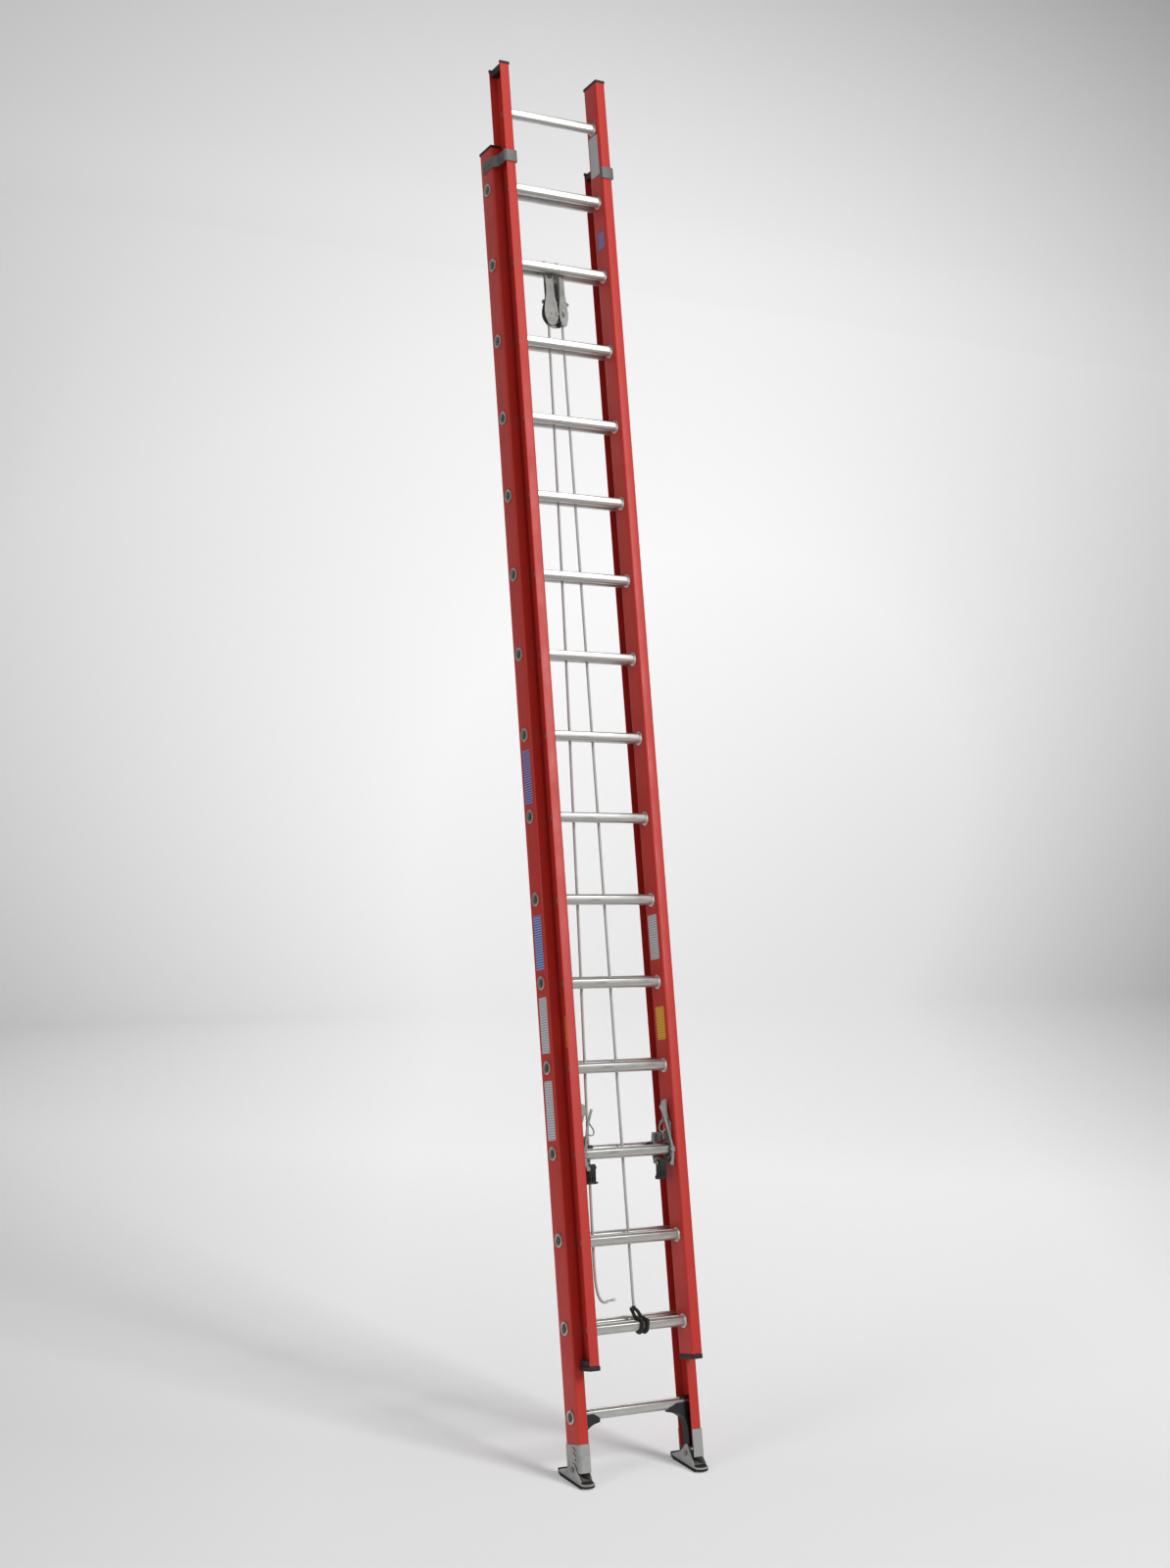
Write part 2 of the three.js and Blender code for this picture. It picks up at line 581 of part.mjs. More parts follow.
function ropeClamp() {
  const ringAt = (x) => {
    const outer = prismX(rungShape(CLAMP_WALL + GAP, FLY_Y, FLY_Z), x, x + CLAMP_WIDTH);
    return outer.subtract(prismX(rungShape(GAP, FLY_Y, FLY_Z), x - 1, x + CLAMP_WIDTH + 1));
  };
  const plateFront = FLY_Y + RUNG_DEPTH / 2 + CLAMP_WALL / 2;
  const plateBack = ROPE_Y - CLAMP_GAP;
  const left = tautX - 1.5 * CLAMP_WIDTH;
  const right = tautX + 1.5 * CLAMP_WIDTH;
  const plate = box(left, right, plateFront, plateBack, FLY_Z, FLY_Z + CLAMP_UP - 2);
  const bar = box(left - 4, right + 4, plateFront, ROPE_Y + 2 * ROPE_RADIUS - 3,
    FLY_Z + CLAMP_UP - CLAMP_BAR, FLY_Z + CLAMP_UP);
  const inner = prismX(rungShape(GAP, FLY_Y, FLY_Z), left - 1, right + 1);
  return join([ringAt(left), ringAt(right - CLAMP_WIDTH), plate.subtract(inner), bar]);
}
add('rope_clamp', ropeClamp(), 'black');

// ---- rope ----
function ropeTube(points, steps, sides = 8) {
  const path = new THREE.CatmullRomCurve3(points, false, 'centripetal');
  const ring = new THREE.Shape();
  ring.absarc(0, 0, ROPE_RADIUS, 0, 2 * Math.PI, false);
  const outline = polygon(ring.getSpacedPoints(sides).slice(0, -1).map((p) => [p.x, p.y]));
  return solid(new THREE.ExtrudeGeometry(outline, { steps, extrudePath: path, bevelEnabled: false }));
}

function ropePoint(x, z, y = ROPE_Y) {
  return new THREE.Vector3(x, y, z);
}

function tautFall() {
  return ropeTube([ropePoint(tautX, FLY_Z + CLAMP_UP + GAP), ropePoint(tautX, SHEAVE_Z)], 36);
}

// Over the sheave from its right-hand side, then down the left, ending above fly rung 1.
function freeFall() {
  const start = ropePoint(PULLEY_X + SHEAVE_PITCH, SHEAVE_Z + GAP);
  const over = [start, start.clone().setZ(start.z + 1)];
  for (let step = 1; step <= 12; step += 1) {
    const turn = Math.PI * (step / 12);
    const x = PULLEY_X + SHEAVE_PITCH * Math.cos(turn);
    over.push(ropePoint(x, SHEAVE_Z + GAP + SHEAVE_PITCH * Math.sin(turn)));
  }
  const leave = PULLEY_X - SHEAVE_PITCH;
  const down = [
    [leave, SHEAVE_Z + 1], [-50, 3950], [-55, 3700], [-61, 3400], [-70, 3000], [-80, 2600], [-91, 2200],
    [-102, 1800], [-114, 1400], [-125, 1050], [-132, 800], [-137, 600], [-138, 492],
    [-134, 427], [-123, 394], [-107, 382], [-91, 386],
  ].map(([x, z]) => ropePoint(x, z));
  return ropeTube(over, 12).add(ropeTube(down, 60));
}
add('rope_taut', tautFall(), 'rope');
add('rope_free', freeFall(), 'rope');

// The origin is on the floor below the middle of the whole ladder.
const bounds = new THREE.Box3().setFromObject(ladder);
ladder.position.y = -(bounds.min.y + bounds.max.y) / 2;

export default ladder;
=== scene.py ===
import json
import math

import bmesh
import bpy
from mathutils import Matrix, Vector


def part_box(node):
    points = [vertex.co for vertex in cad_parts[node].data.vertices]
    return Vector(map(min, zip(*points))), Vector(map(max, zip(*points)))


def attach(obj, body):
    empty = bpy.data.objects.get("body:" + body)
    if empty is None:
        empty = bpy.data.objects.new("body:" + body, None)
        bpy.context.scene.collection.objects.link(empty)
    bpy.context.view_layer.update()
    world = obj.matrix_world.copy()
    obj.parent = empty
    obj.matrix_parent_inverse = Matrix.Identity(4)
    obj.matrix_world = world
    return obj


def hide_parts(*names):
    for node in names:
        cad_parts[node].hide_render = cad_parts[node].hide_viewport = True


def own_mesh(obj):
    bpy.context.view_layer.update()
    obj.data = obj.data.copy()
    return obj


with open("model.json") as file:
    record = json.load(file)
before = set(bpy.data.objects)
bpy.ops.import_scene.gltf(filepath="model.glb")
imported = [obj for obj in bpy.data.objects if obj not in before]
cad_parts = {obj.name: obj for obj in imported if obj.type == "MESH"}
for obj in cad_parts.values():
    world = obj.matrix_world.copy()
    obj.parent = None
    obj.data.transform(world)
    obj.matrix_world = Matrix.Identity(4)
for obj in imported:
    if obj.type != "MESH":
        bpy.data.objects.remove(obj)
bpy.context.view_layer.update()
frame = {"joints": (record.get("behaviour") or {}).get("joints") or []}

# ---- the frame: directions and places read from the CAD model ----
JOINTS = {joint["name"]: joint for joint in frame["joints"]}
SLIDE = JOINTS["fly_slide"]
UP = Vector(SLIDE["axis"])
BACK = Vector((0, UP.z, -UP.y))
ACROSS = Vector((1, 0, 0))
LEAN = math.atan2(UP.y, UP.z)


def middle(node):
    low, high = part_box(node)
    return (low + high) / 2


ORIGIN = middle("base_rung_01")
LADDER = Matrix.Translation(ORIGIN) @ Matrix(
    ((1, 0, 0, 0), (0, BACK.y, UP.y, 0), (0, BACK.z, UP.z, 0), (0, 0, 0, 1)))
MM = Matrix.Scale(0.001, 4)


def in_ladder(point):
    return (LADDER.inverted() @ point) * 1000


PITCH = in_ladder(middle("base_rung_02")).z
FLY = in_ladder(middle("fly_rung_01"))
RUNGS = 16
RUNG = 36.0       # depth and height of a rung
BASE_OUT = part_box("base_rail_right")[1].x * 1000
BASE_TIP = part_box("base_rail_right")[0].x * 1000
FLY_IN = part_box("fly_rail_right")[0].x * 1000
FLY_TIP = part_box("fly_rail_right")[1].x * 1000
WALL = 4.5        # of the rail channels
HALF = 46.0       # half a rail's depth
BASE_BOTTOM = -150.0
BASE_TOP = (RUNGS - 1) * PITCH + 164
FLY_BOTTOM = FLY.z - 116
FLY_TOP = FLY.z + (RUNGS - 1) * PITCH + 188
ROPE_Y = FLY.y / 2
ROPE_R = 5.0
PLATE = 3.0       # sheet thickness of boots, guides and cheeks
FIT = 0.3         # gap between pieces that touch
BORE = 5.4        # radius of a hole for a 10 mm pin
SHEAVE = in_ladder(middle("pulley_sheave"))
SHEAVE_PITCH = 28.5   # radius of the rope's middle line on the sheave
PULLEY_DROP = 14 * PITCH - SHEAVE.z
PIVOT = Vector(JOINTS["shoe_right_pivot"]["pos_m"])
SHOE = Matrix.Translation(Vector((0, PIVOT.y, PIVOT.z)))
PIN_Z = in_ladder(PIVOT).z
LOCK = in_ladder(Vector(JOINTS["lock_right_pivot"]["pos_m"]))
FINGER = in_ladder(Vector(JOINTS["finger_right_pivot"]["pos_m"]))


# ---- camera ----
CAMERA_AT = ORIGIN + Vector((-4.280, -6.780, 2.613))
CAMERA_AIM = ORIGIN + Vector((-0.0165, 0.5564, 2.190))
CAMERA_ROLL = math.radians(-3.22)
CAMERA_LENS = 52.5


def add_camera():
    data = bpy.data.cameras.new("camera")
    data.lens = CAMERA_LENS
    data.sensor_width = 36
    data.clip_end = 200
    camera = bpy.data.objects.new("camera", data)
    bpy.context.scene.collection.objects.link(camera)
    look = (CAMERA_AIM - CAMERA_AT).to_track_quat("-Z", "Y")
    turn = look.to_matrix().to_4x4() @ Matrix.Rotation(-CAMERA_ROLL, 4, "Z")
    camera.matrix_world = Matrix.Translation(CAMERA_AT) @ turn
    bpy.context.scene.camera = camera


# ---- mesh helpers ----
def finish_mesh(name, bm, place=None, smooth=35):
    bmesh.ops.remove_doubles(bm, verts=bm.verts, dist=1e-4)
    bmesh.ops.recalc_face_normals(bm, faces=bm.faces)
    mesh = bpy.data.meshes.new(name)
    bm.to_mesh(mesh)
    bm.free()
    mesh.transform((LADDER if place is None else place) @ MM)
    mesh.shade_smooth()
    mesh.set_sharp_from_angle(angle=math.radians(smooth))
    obj = bpy.data.objects.new(name, mesh)
    bpy.context.scene.collection.objects.link(obj)
    return obj


PLANES = {"x": lambda a, b, c: (c, a, b), "y": lambda a, b, c: (a, c, b), "z": lambda a, b, c: (a, b, c)}


def prism(bm, outline, axis, low, high):
    """Adds an outline, drawn square to axis, run along it from low to high."""
    at = PLANES[axis]
    ends = [[bm.verts.new(at(a, b, level)) for a, b in outline] for level in (low, high)]
    count = len(outline)
    for i in range(count):
        j = (i + 1) % count
        bm.faces.new((ends[0][i], ends[0][j], ends[1][j], ends[1][i]))
    bm.faces.new(ends[0][::-1])
    bm.faces.new(ends[1])


def revolve(bm, profile, axis, centre, steps=32, closed=True):
    """Adds a profile of (along, radius) turned about axis through centre."""
    at = PLANES[axis]
    first, second = centre
    rings = []
    for along, radius in profile:
        ring = []
        for step in range(steps):
            turn = 2 * math.pi * step / steps
            a = first + radius * math.cos(turn)
            b = second + radius * math.sin(turn)
            ring.append(bm.verts.new(at(a, b, along)))
        rings.append(ring)
    pairs = list(zip(rings, rings[1:] + rings[:1])) if closed else list(zip(rings, rings[1:]))
    for one, two in pairs:
        for i in range(steps):
            j = (i + 1) % steps
            bm.faces.new((one[i], one[j], two[j], two[i]))
    if not closed:
        bm.faces.new(rings[0][::-1])
        bm.faces.new(rings[-1])


def disc(bm, axis, centre, radius, low, high, steps=24, chamfer=0.6):
    inner = radius - chamfer
    profile = [(low, inner), (low + chamfer, radius), (high - chamfer, radius), (high, inner)]
    revolve(bm, profile, axis, centre, steps, closed=False)


def arc(a, b, radius, start, end, steps):
    """Points of an arc, its angles in degrees."""
    points = []
    for step in range(steps + 1):
        turn = math.radians(start + (end - start) * step / steps)
        points.append((a + radius * math.cos(turn), b + radius * math.sin(turn)))
    return points


def curve_points(anchors, steps=8):
    """A smooth line through anchors (Catmull-Rom), ends included."""
    pts = [Vector(p) for p in anchors]
    pts = [2 * pts[0] - pts[1], *pts, 2 * pts[-1] - pts[-2]]
    line = []
    for i in range(1, len(pts) - 2):
        p0, p1, p2, p3 = pts[i - 1:i + 3]
        for step in range(steps):
            t = step / steps
            line.append(0.5 * (2 * p1 + (p2 - p0) * t + (2 * p0 - 5 * p1 + 4 * p2 - p3) * t ** 2
                               + (3 * p1 - p0 - 3 * p2 + p3) * t ** 3))
    line.append(pts[-2])
    return line


def flat_curve(anchors, steps):
    """A smooth flat line of (a, b) through flat anchors."""
    return [(p.x, p.y) for p in curve_points([Vector((a, b, 0)) for a, b in anchors], steps)]


def rod(bm, line, radius, sides=10, section=None):
    """Adds a round bar along a line. section(i, turn) may change the radius."""
    line = [Vector(p) for p in line]
    normal = Vector((0, 0, 0))
    rings = []
    for i, point in enumerate(line):
        along = (line[min(i + 1, len(line) - 1)] - line[max(i - 1, 0)]).normalized()
        if i == 0:
            normal = along.orthogonal().normalized()
        normal = (normal - along * normal.dot(along)).normalized()
        side = along.cross(normal)
        ring = []
        for step in range(sides):
            turn = 2 * math.pi * step / sides
            reach = radius if section is None else radius * section(i, turn)
            ring.append(bm.verts.new(point + (normal * math.cos(turn) + side * math.sin(turn)) * reach))
        rings.append(ring)
    for one, two in zip(rings, rings[1:]):
        for i in range(sides):
            j = (i + 1) % sides
            bm.faces.new((one[i], one[j], two[j], two[i]))
    bm.faces.new(rings[0][::-1])
    bm.faces.new(rings[-1])


def strip(path, thickness):
    """Outline of a bent strip of even thickness along a path of (a, b)."""
    pts = [Vector((a, b)) for a, b in path]
    outline = []
    for sign in (1, -1):
        edge = []
        for i, point in enumerate(pts):
            into = point - pts[i - 1] if i else pts[1] - pts[0]
            out = pts[i + 1] - point if i + 1 < len(pts) else into
            first, second = into.normalized(), out.normalized()
            along = (first + second).normalized()
            reach = thickness / 2 / max(along.dot(first), 0.3)
            edge.append((point.x - sign * along.y * reach, point.y + sign * along.x * reach))
        outline += edge if sign == 1 else edge[::-1]
    return outline


def soften(obj, width, segments=2, angle=35):
    """Rounds the piece's hard edges."""
    bevel = obj.modifiers.new("edge", "BEVEL")
    bevel.width = width / 1000
    bevel.segments = segments
    bevel.limit_method = "ANGLE"
    bevel.angle_limit = math.radians(angle)
    bevel.harden_normals = True
    return obj


def cut(obj, build):
    """Takes what build(bm) draws out of obj."""
    bm = bmesh.new()
    build(bm)
    tool = finish_mesh("tool", bm)
    carve = obj.modifiers.new("cut", "BOOLEAN")
    carve.object = tool
    carve.solver = "EXACT"
    graph = bpy.context.evaluated_depsgraph_get()
    mesh = bpy.data.meshes.new_from_object(obj.evaluated_get(graph))
    obj.modifiers.remove(carve)
    obj.data = mesh
    mesh.set_sharp_from_angle(angle=math.radians(35))
    bpy.data.objects.remove(tool)
    return obj


def mirrored(obj, name):
    """A copy on the ladder's left side of a piece made for its right."""
    mesh = obj.data.copy()
    mesh.transform(Matrix.Scale(-1, 4, ACROSS))
    mesh.flip_normals()
    copy = bpy.data.objects.new(name, mesh)
    bpy.context.scene.collection.objects.link(copy)
    for modifier in obj.modifiers:
        other = copy.modifiers.new(modifier.name, modifier.type)
        for key in ("width", "segments", "limit_method", "angle_limit", "harden_normals"):
            setattr(other, key, getattr(modifier, key))
    return copy


def dress(obj, body, slot, material, *nodes):
    """Gives a piece its material and body, in place of the named CAD nodes; slot is not used."""
    obj.data.materials.clear()
    obj.data.materials.append(material)
    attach(obj, body)
    if nodes:
        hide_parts(*nodes)
    return obj


def pair(right, name, body, slot, material, node=None):
    """Dresses a right-hand piece and its mirror image; body may hold a {side} place."""
    left = mirrored(right, f"{name}_left_look")
    right.name = f"{name}_right_look"
    for obj, side in ((right, "right"), (left, "left")):
        nodes = (f"{node}_{side}",) if node else ()
        dress(obj, body.format(side=side), slot, material, *nodes)
    return right, left


# ---- materials ----
class Shader:
    """A small builder for one procedural material."""

    def __init__(self, name, turn=0.0, stretch=(1, 1, 1)):
        self.material = bpy.data.materials.new(name)
        self.material.use_nodes = True
        self.tree = self.material.node_tree
        self.bsdf = self.tree.nodes["Principled BSDF"]
        coords = self.add("ShaderNodeTexCoord")
        mapping = self.add("ShaderNodeMapping")
        mapping.inputs["Rotation"].default_value = (turn, 0, 0)
        mapping.inputs["Scale"].default_value = stretch
        self.link(coords.outputs["Object"], mapping.inputs["Vector"])
        self.stretched = mapping.outputs["Vector"]
        self.plain = coords.outputs["Object"]

    def add(self, kind):
        return self.tree.nodes.new(kind)

    def link(self, out, into):
        self.tree.links.new(out, into)

    def noise(self, scale, detail=4, rough=0.55, stretched=True):
        node = self.add("ShaderNodeTexNoise")
        node.inputs["Scale"].default_value = scale
        node.inputs["Detail"].default_value = detail
        node.inputs["Roughness"].default_value = rough
        self.link(self.stretched if stretched else self.plain, node.inputs["Vector"])
        return node.outputs["Fac"]

    def span(self, value, low, high, from_low=0.3, from_high=0.7):
        node = self.add("ShaderNodeMapRange")
        node.inputs["From Min"].default_value = from_low
        node.inputs["From Max"].default_value = from_high
        node.inputs["To Min"].default_value = low
        node.inputs["To Max"].default_value = high
        self.link(value, node.inputs["Value"])
        return node.outputs["Result"]

    def mix(self, share, one, two):
        node = self.add("ShaderNodeMix")
        node.data_type = "RGBA"
        for socket, value in ((node.inputs[6], one), (node.inputs[7], two)):
            if isinstance(value, tuple):
                socket.default_value = (*value, 1)
            else:
                self.link(value, socket)
        self.link(share, node.inputs[0])
        return node.outputs[2]

    def bump(self, height, strength, distance):
        node = self.add("ShaderNodeBump")
        node.inputs["Strength"].default_value = strength
        node.inputs["Distance"].default_value = distance / 1000
        self.link(height, node.inputs["Height"])
        self.link(node.outputs["Normal"], self.bsdf.inputs["Normal"])

    def set(self, **values):
        for name, value in values.items():
            socket = name.replace("_", " ").title().replace("Ior", "IOR")
            self.bsdf.inputs[socket].default_value = value


def tint(colour, factor):
    return tuple(min(1.0, c * factor) for c in colour)


def fibreglass():
    shader = Shader("fibreglass", turn=LEAN, stretch=(1, 1, 0.03))
    red = (0.560, 0.034, 0.024)
    fibres = shader.noise(700, 3)
    cloud = shader.noise(9, 5, stretched=False)
    scuff = shader.noise(60, 8, 0.7, stretched=False)
    body = shader.mix(shader.span(fibres, 0, 1), tint(red, 0.86), tint(red, 1.12))
    body = shader.mix(shader.span(cloud, 0, 0.4), body, (0.48, 0.034, 0.024))
    body = shader.mix(shader.span(scuff, 0, 0.3, 0.64, 0.82), body, (0.62, 0.20, 0.16))
    shader.link(body, shader.bsdf.inputs["Base Color"])
    shader.link(shader.span(cloud, 0.34, 0.5), shader.bsdf.inputs["Roughness"])
    shader.bump(fibres, 0.25, 0.12)
    shader.set(specular_ior_level=0.35)
    return shader.material


# Painted shade for the hollow rungs' bores: near black, blended in over a thin edge.
BORE_SHADE_EDGE = 0.0012
BORE_PAINTED_SHADE = (0.010, 0.009, 0.009)


def paint_bore_shade(shader, body, radius):
    """Painted shade: darken what lies within radius (m) of the piece's own x axis, where the inside of a long
    tube lies in shade.
    """
    across = shader.add("ShaderNodeVectorMath")
    across.operation = "MULTIPLY"
    across.inputs[1].default_value = (0, 1, 1)
    shader.link(shader.plain, across.inputs[0])
    reach = shader.add("ShaderNodeVectorMath")
    reach.operation = "LENGTH"
    shader.link(across.outputs[0], reach.inputs[0])
    outside = shader.span(reach.outputs["Value"], 0, 1, radius, radius + BORE_SHADE_EDGE)
    return shader.mix(outside, BORE_PAINTED_SHADE, body)


def metal(name, colour, roughness, stretch, grime=0.25, bump=0.08, turn=LEAN, metallic=1.0, bore=0):
    shader = Shader(name, turn=turn, stretch=stretch)
    grain = shader.noise(900, 3)
    cloud = shader.noise(22, 5, stretched=False)
    wear = shader.noise(130, 7, 0.7, stretched=False)
    body = shader.mix(shader.span(grain, 0, 1), tint(colour, 0.9), tint(colour, 1.06))
    body = shader.mix(shader.span(cloud, 0, grime), body, tint(colour, 0.55))
    body = shader.mix(shader.span(wear, 0, 0.4, 0.6, 0.8), body, tint(colour, 1.25))
    # bore is the radius of painted shade inside the tube, about its axis
    if bore:
        body = paint_bore_shade(shader, body, bore)
    shader.link(body, shader.bsdf.inputs["Base Color"])
    shader.link(shader.span(cloud, roughness * 0.8, roughness * 1.3), shader.bsdf.inputs["Roughness"])
    shader.bump(grain, 0.3, bump)
    shader.set(metallic=metallic)
    return shader.material


def moulded(name, colour, roughness, grain=1400, bump=0.15):
    shader = Shader(name)
    pores = shader.noise(grain, 3, stretched=False)
    cloud = shader.noise(30, 5, stretched=False)
    dust = shader.noise(90, 7, 0.7, stretched=False)
    body = shader.mix(shader.span(cloud, 0, 1), tint(colour, 0.8), tint(colour, 1.5))
    body = shader.mix(shader.span(dust, 0, 0.25, 0.6, 0.85), body, (0.035, 0.034, 0.032))
    shader.link(body, shader.bsdf.inputs["Base Color"])
    shader.link(shader.span(cloud, roughness * 0.85, roughness * 1.15), shader.bsdf.inputs["Roughness"])
    shader.bump(pores, 0.35, bump)
    return shader.material


def rope_fibre():
    shader = Shader("rope_fibre", turn=LEAN)
    fibres = shader.noise(2600, 4, stretched=False)
    cloud = shader.noise(40, 4, stretched=False)
    pale = (0.56, 0.57, 0.55)
    body = shader.mix(shader.span(fibres, 0, 1), tint(pale, 0.72), tint(pale, 1.2))
    body = shader.mix(shader.span(cloud, 0, 0.3), body, (0.42, 0.42, 0.40))
    shader.link(body, shader.bsdf.inputs["Base Color"])
    shader.bump(fibres, 0.6, 0.35)
    shader.set(roughness=0.9, sheen_weight=0.25)
    return shader.material


def printed(name, colour, mark):
    """A plain sticker: one colour with soft bands, no lettering."""
    shader = Shader(name, turn=LEAN, stretch=(1, 1, 1))
    bands = shader.add("ShaderNodeTexWave")
    bands.bands_direction = "Z"
    bands.inputs["Scale"].default_value = 34
    bands.inputs["Distortion"].default_value = 1.2
    bands.inputs["Detail"].default_value = 2
    shader.link(shader.stretched, bands.inputs["Vector"])
    worn = shader.noise(160, 6, stretched=False)
    body = shader.mix(shader.span(bands.outputs["Fac"], 0, 0.8, 0.55, 0.75), colour, mark)
    body = shader.mix(shader.span(worn, 0, 0.5, 0.55, 0.8), body, tint(colour, 0.8))
    shader.link(body, shader.bsdf.inputs["Base Color"])
    shader.link(shader.span(worn, 0.35, 0.6), shader.bsdf.inputs["Roughness"])
    shader.bump(worn, 0.2, 0.05)
    return shader.material


# ---- rungs ----
def rung_section():
    """D-shaped section, tread level at the working lean, with gripping ridges on the tread."""
    half = RUNG / 2
    corner = 4
    outline = arc(0, 0, half, 180, 360, 20)
    outline += arc(half - corner, half - corner, corner, 0, 90, 4)
    ridges = 7
    pitch = 2 * (half - corner - 1) / ridges
    for k in range(ridges):
        start = half - corner - 1 - k * pitch
        for share, rise in ((0.15, 0), (0.35, 1.1), (0.65, 1.1), (0.85, 0)):
            outline.append((start - share * pitch, half + rise - 1.1))
    outline += arc(-half + corner, half - corner, corner, 90, 180, 4)
    cosine, sine = math.cos(LEAN), math.sin(LEAN)
    return [(a * cosine - b * sine, a * sine + b * cosine) for a, b in outline]


def rung_mesh(name, inner, outer):
    """One hollow rung between web faces at inner and outer from the middle, with swaged ends."""
    section = rung_section()
    bore = 13.5
    neck = [
        (outer + 3.4, 16.4), (outer + 4.8, 20), (outer + 4.6, 22.8), (outer + 3.2, 25), (outer + 1.4, 25.3),
        (outer + 0.2, 24), (outer + 0.2, 18), (inner - 0.2, 18), (inner - 0.2, 25.4), (inner - 2, 25.6),
        (inner - 4, 24), (inner - 7, 19.5),
    ]
    stations = [(outer - 10, bore), *neck, (inner - 16, None)]
    rings = [(-x, radius) for x, radius in stations] + [(x, radius) for x, radius in stations[::-1]]
    bm = bmesh.new()
    loops = []
    for x, radius in rings:
        ring = []
        for a, b in section:
            grow = 1 if radius is None else radius / math.hypot(a, b)
            ring.append(bm.verts.new((x, a * grow, b * grow)))
        loops.append(ring)
    count = len(section)
    for one, two in zip(loops, loops[1:] + loops[:1]):
        for i in range(count):
            j = (i + 1) % count
            bm.faces.new((one[i], one[j], two[j], two[i]))
    return finish_mesh(name, bm, smooth=40)


def add_rungs(section, inner, outer, start, body, material):
    first = rung_mesh(f"{section}_rung_look", inner, outer)
    mesh = first.data
    bpy.data.objects.remove(first)
    for number in range(RUNGS):
        node = f"{section}_rung_{number + 1:02d}"
        obj = bpy.data.objects.new(f"{node}_look", mesh)
        bpy.context.scene.collection.objects.link(obj)
        obj.location = (BACK * start.y + UP * (start.z + number * PITCH)) / 1000
        if not mesh.materials:
            mesh.materials.append(material)
        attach(obj, body)
        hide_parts(node)


# ---- rails ----
def channel(face, way, y):
    """C section in (x, y): rounded outside corners, filleted inside, round flange edges."""
    flange = BASE_OUT - BASE_TIP
    outer, inner = 6, 4
    half_wall = WALL / 2

    def at(inwards, across):
        return (face + way * inwards, y + across)

    outline = []
    for side in (-1, 1):
        bend = [at(outer - a, side * (HALF - outer + b)) for a, b in arc(0, 0, outer, 0, 90, 6)]
        edge = [at(flange - half_wall + a, side * (HALF - half_wall + b))
                for a, b in arc(0, 0, half_wall, 90, -90, 6)]
        corner = HALF - WALL - inner
        fillet = [at(WALL + inner - a, side * (corner + b)) for a, b in arc(0, 0, inner, 90, 0, 4)]
        outline += (bend + edge + fillet) if side == 1 else (bend + edge + fillet)[::-1]
    return outline


def rail(name, face, way, y, bottom, top, start):
    bm = bmesh.new()
    prism(bm, channel(face, way, y), "z", bottom, top)
    obj = finish_mesh(name, bm, smooth=28)
    low, high = sorted((face - way * 2, face + way * (WALL + 2)))

    def holes(tool):
        for number in range(RUNGS):
            disc(tool, "x", (y, start + number * PITCH), 17.6, low, high, 24, 0.01)
    return cut(obj, holes)


def add_rails(material):
    base = rail("base", BASE_OUT, -1, 0, BASE_BOTTOM, BASE_TOP, 0)
    pair(base, "base_rail", "base_section", "fibreglass", material, "base_rail")
    fly = rail("fly", FLY_IN, 1, FLY.y, FLY_BOTTOM, FLY_TOP, FLY.z)
    pair(fly, "fly_rail", "fly_section", "fibreglass", material, "fly_rail")


# ---- end caps ----
CAP_HEIGHT = 18.0
CAP_WRAP = 1.5    # how far a bottom cap stands out of its rail


def grown_channel(face, way, y, over):
    """C section thick enough to cover a rail end, over beyond it all round."""
    flange = BASE_OUT - BASE_TIP + over
    reach, hollow = HALF + over, HALF - WALL - over
    half = [(-over, reach), (flange, reach), (flange, hollow), (WALL + over, hollow)]
    ends = [(a, -b) for a, b in half] + half[::-1]
    return [(face + way * a, y + b) for a, b in ends]


def top_cap(name, face, way, y, top, body, material):
    bm = bmesh.new()
    prism(bm, grown_channel(face, way, y, 1.3), "z", top - 8, top + 3.5)
    deep = HALF - WALL - 1.8
    low, high = sorted((face + way * (WALL + 1.8), face + way * (BASE_OUT - BASE_TIP - 4)))
    prism(bm, [(low, y - deep), (high, y - deep), (high, y + deep), (low, y + deep)], "z", top - 30, top - 4)
    pair(soften(finish_mesh("cap", bm), 1.2), name, body, "black_plastic", material)


def add_caps(material):
    top_cap("base_top_cap", BASE_OUT, -1, 0, BASE_TOP, "base_section", material)
    top_cap("fly_top_cap", FLY_IN, 1, FLY.y, FLY_TOP, "fly_section", material)
    front, back = FLY.y - HALF, FLY.y + HALF
    bm = bmesh.new()
    notch, step = -HALF - 5.5, BASE_TIP - 5.5
    left, right = FLY_IN - CAP_WRAP, FLY_TIP + CAP_WRAP
    outline = [(left, front - CAP_WRAP), (right, front - CAP_WRAP), (right, notch), (step, notch),
               (step, back + CAP_WRAP), (left, back + CAP_WRAP)]
    prism(bm, outline, "z", FLY_BOTTOM - CAP_HEIGHT - FIT, FLY_BOTTOM - FIT)
    web, flange = FLY_IN + WALL + 0.4, front + WALL + 0.4
    plug = [(web, flange), (FLY_TIP - 2, flange), (FLY_TIP - 2, notch - 2), (web, notch - 2)]
    prism(bm, plug, "z", FLY_BOTTOM - 4, FLY_BOTTOM + 20)
    pair(soften(finish_mesh("cap", bm), 4, 4), "fly_bottom_cap", "fly_section", "black_plastic", material,
         "fly_bottom_cap")


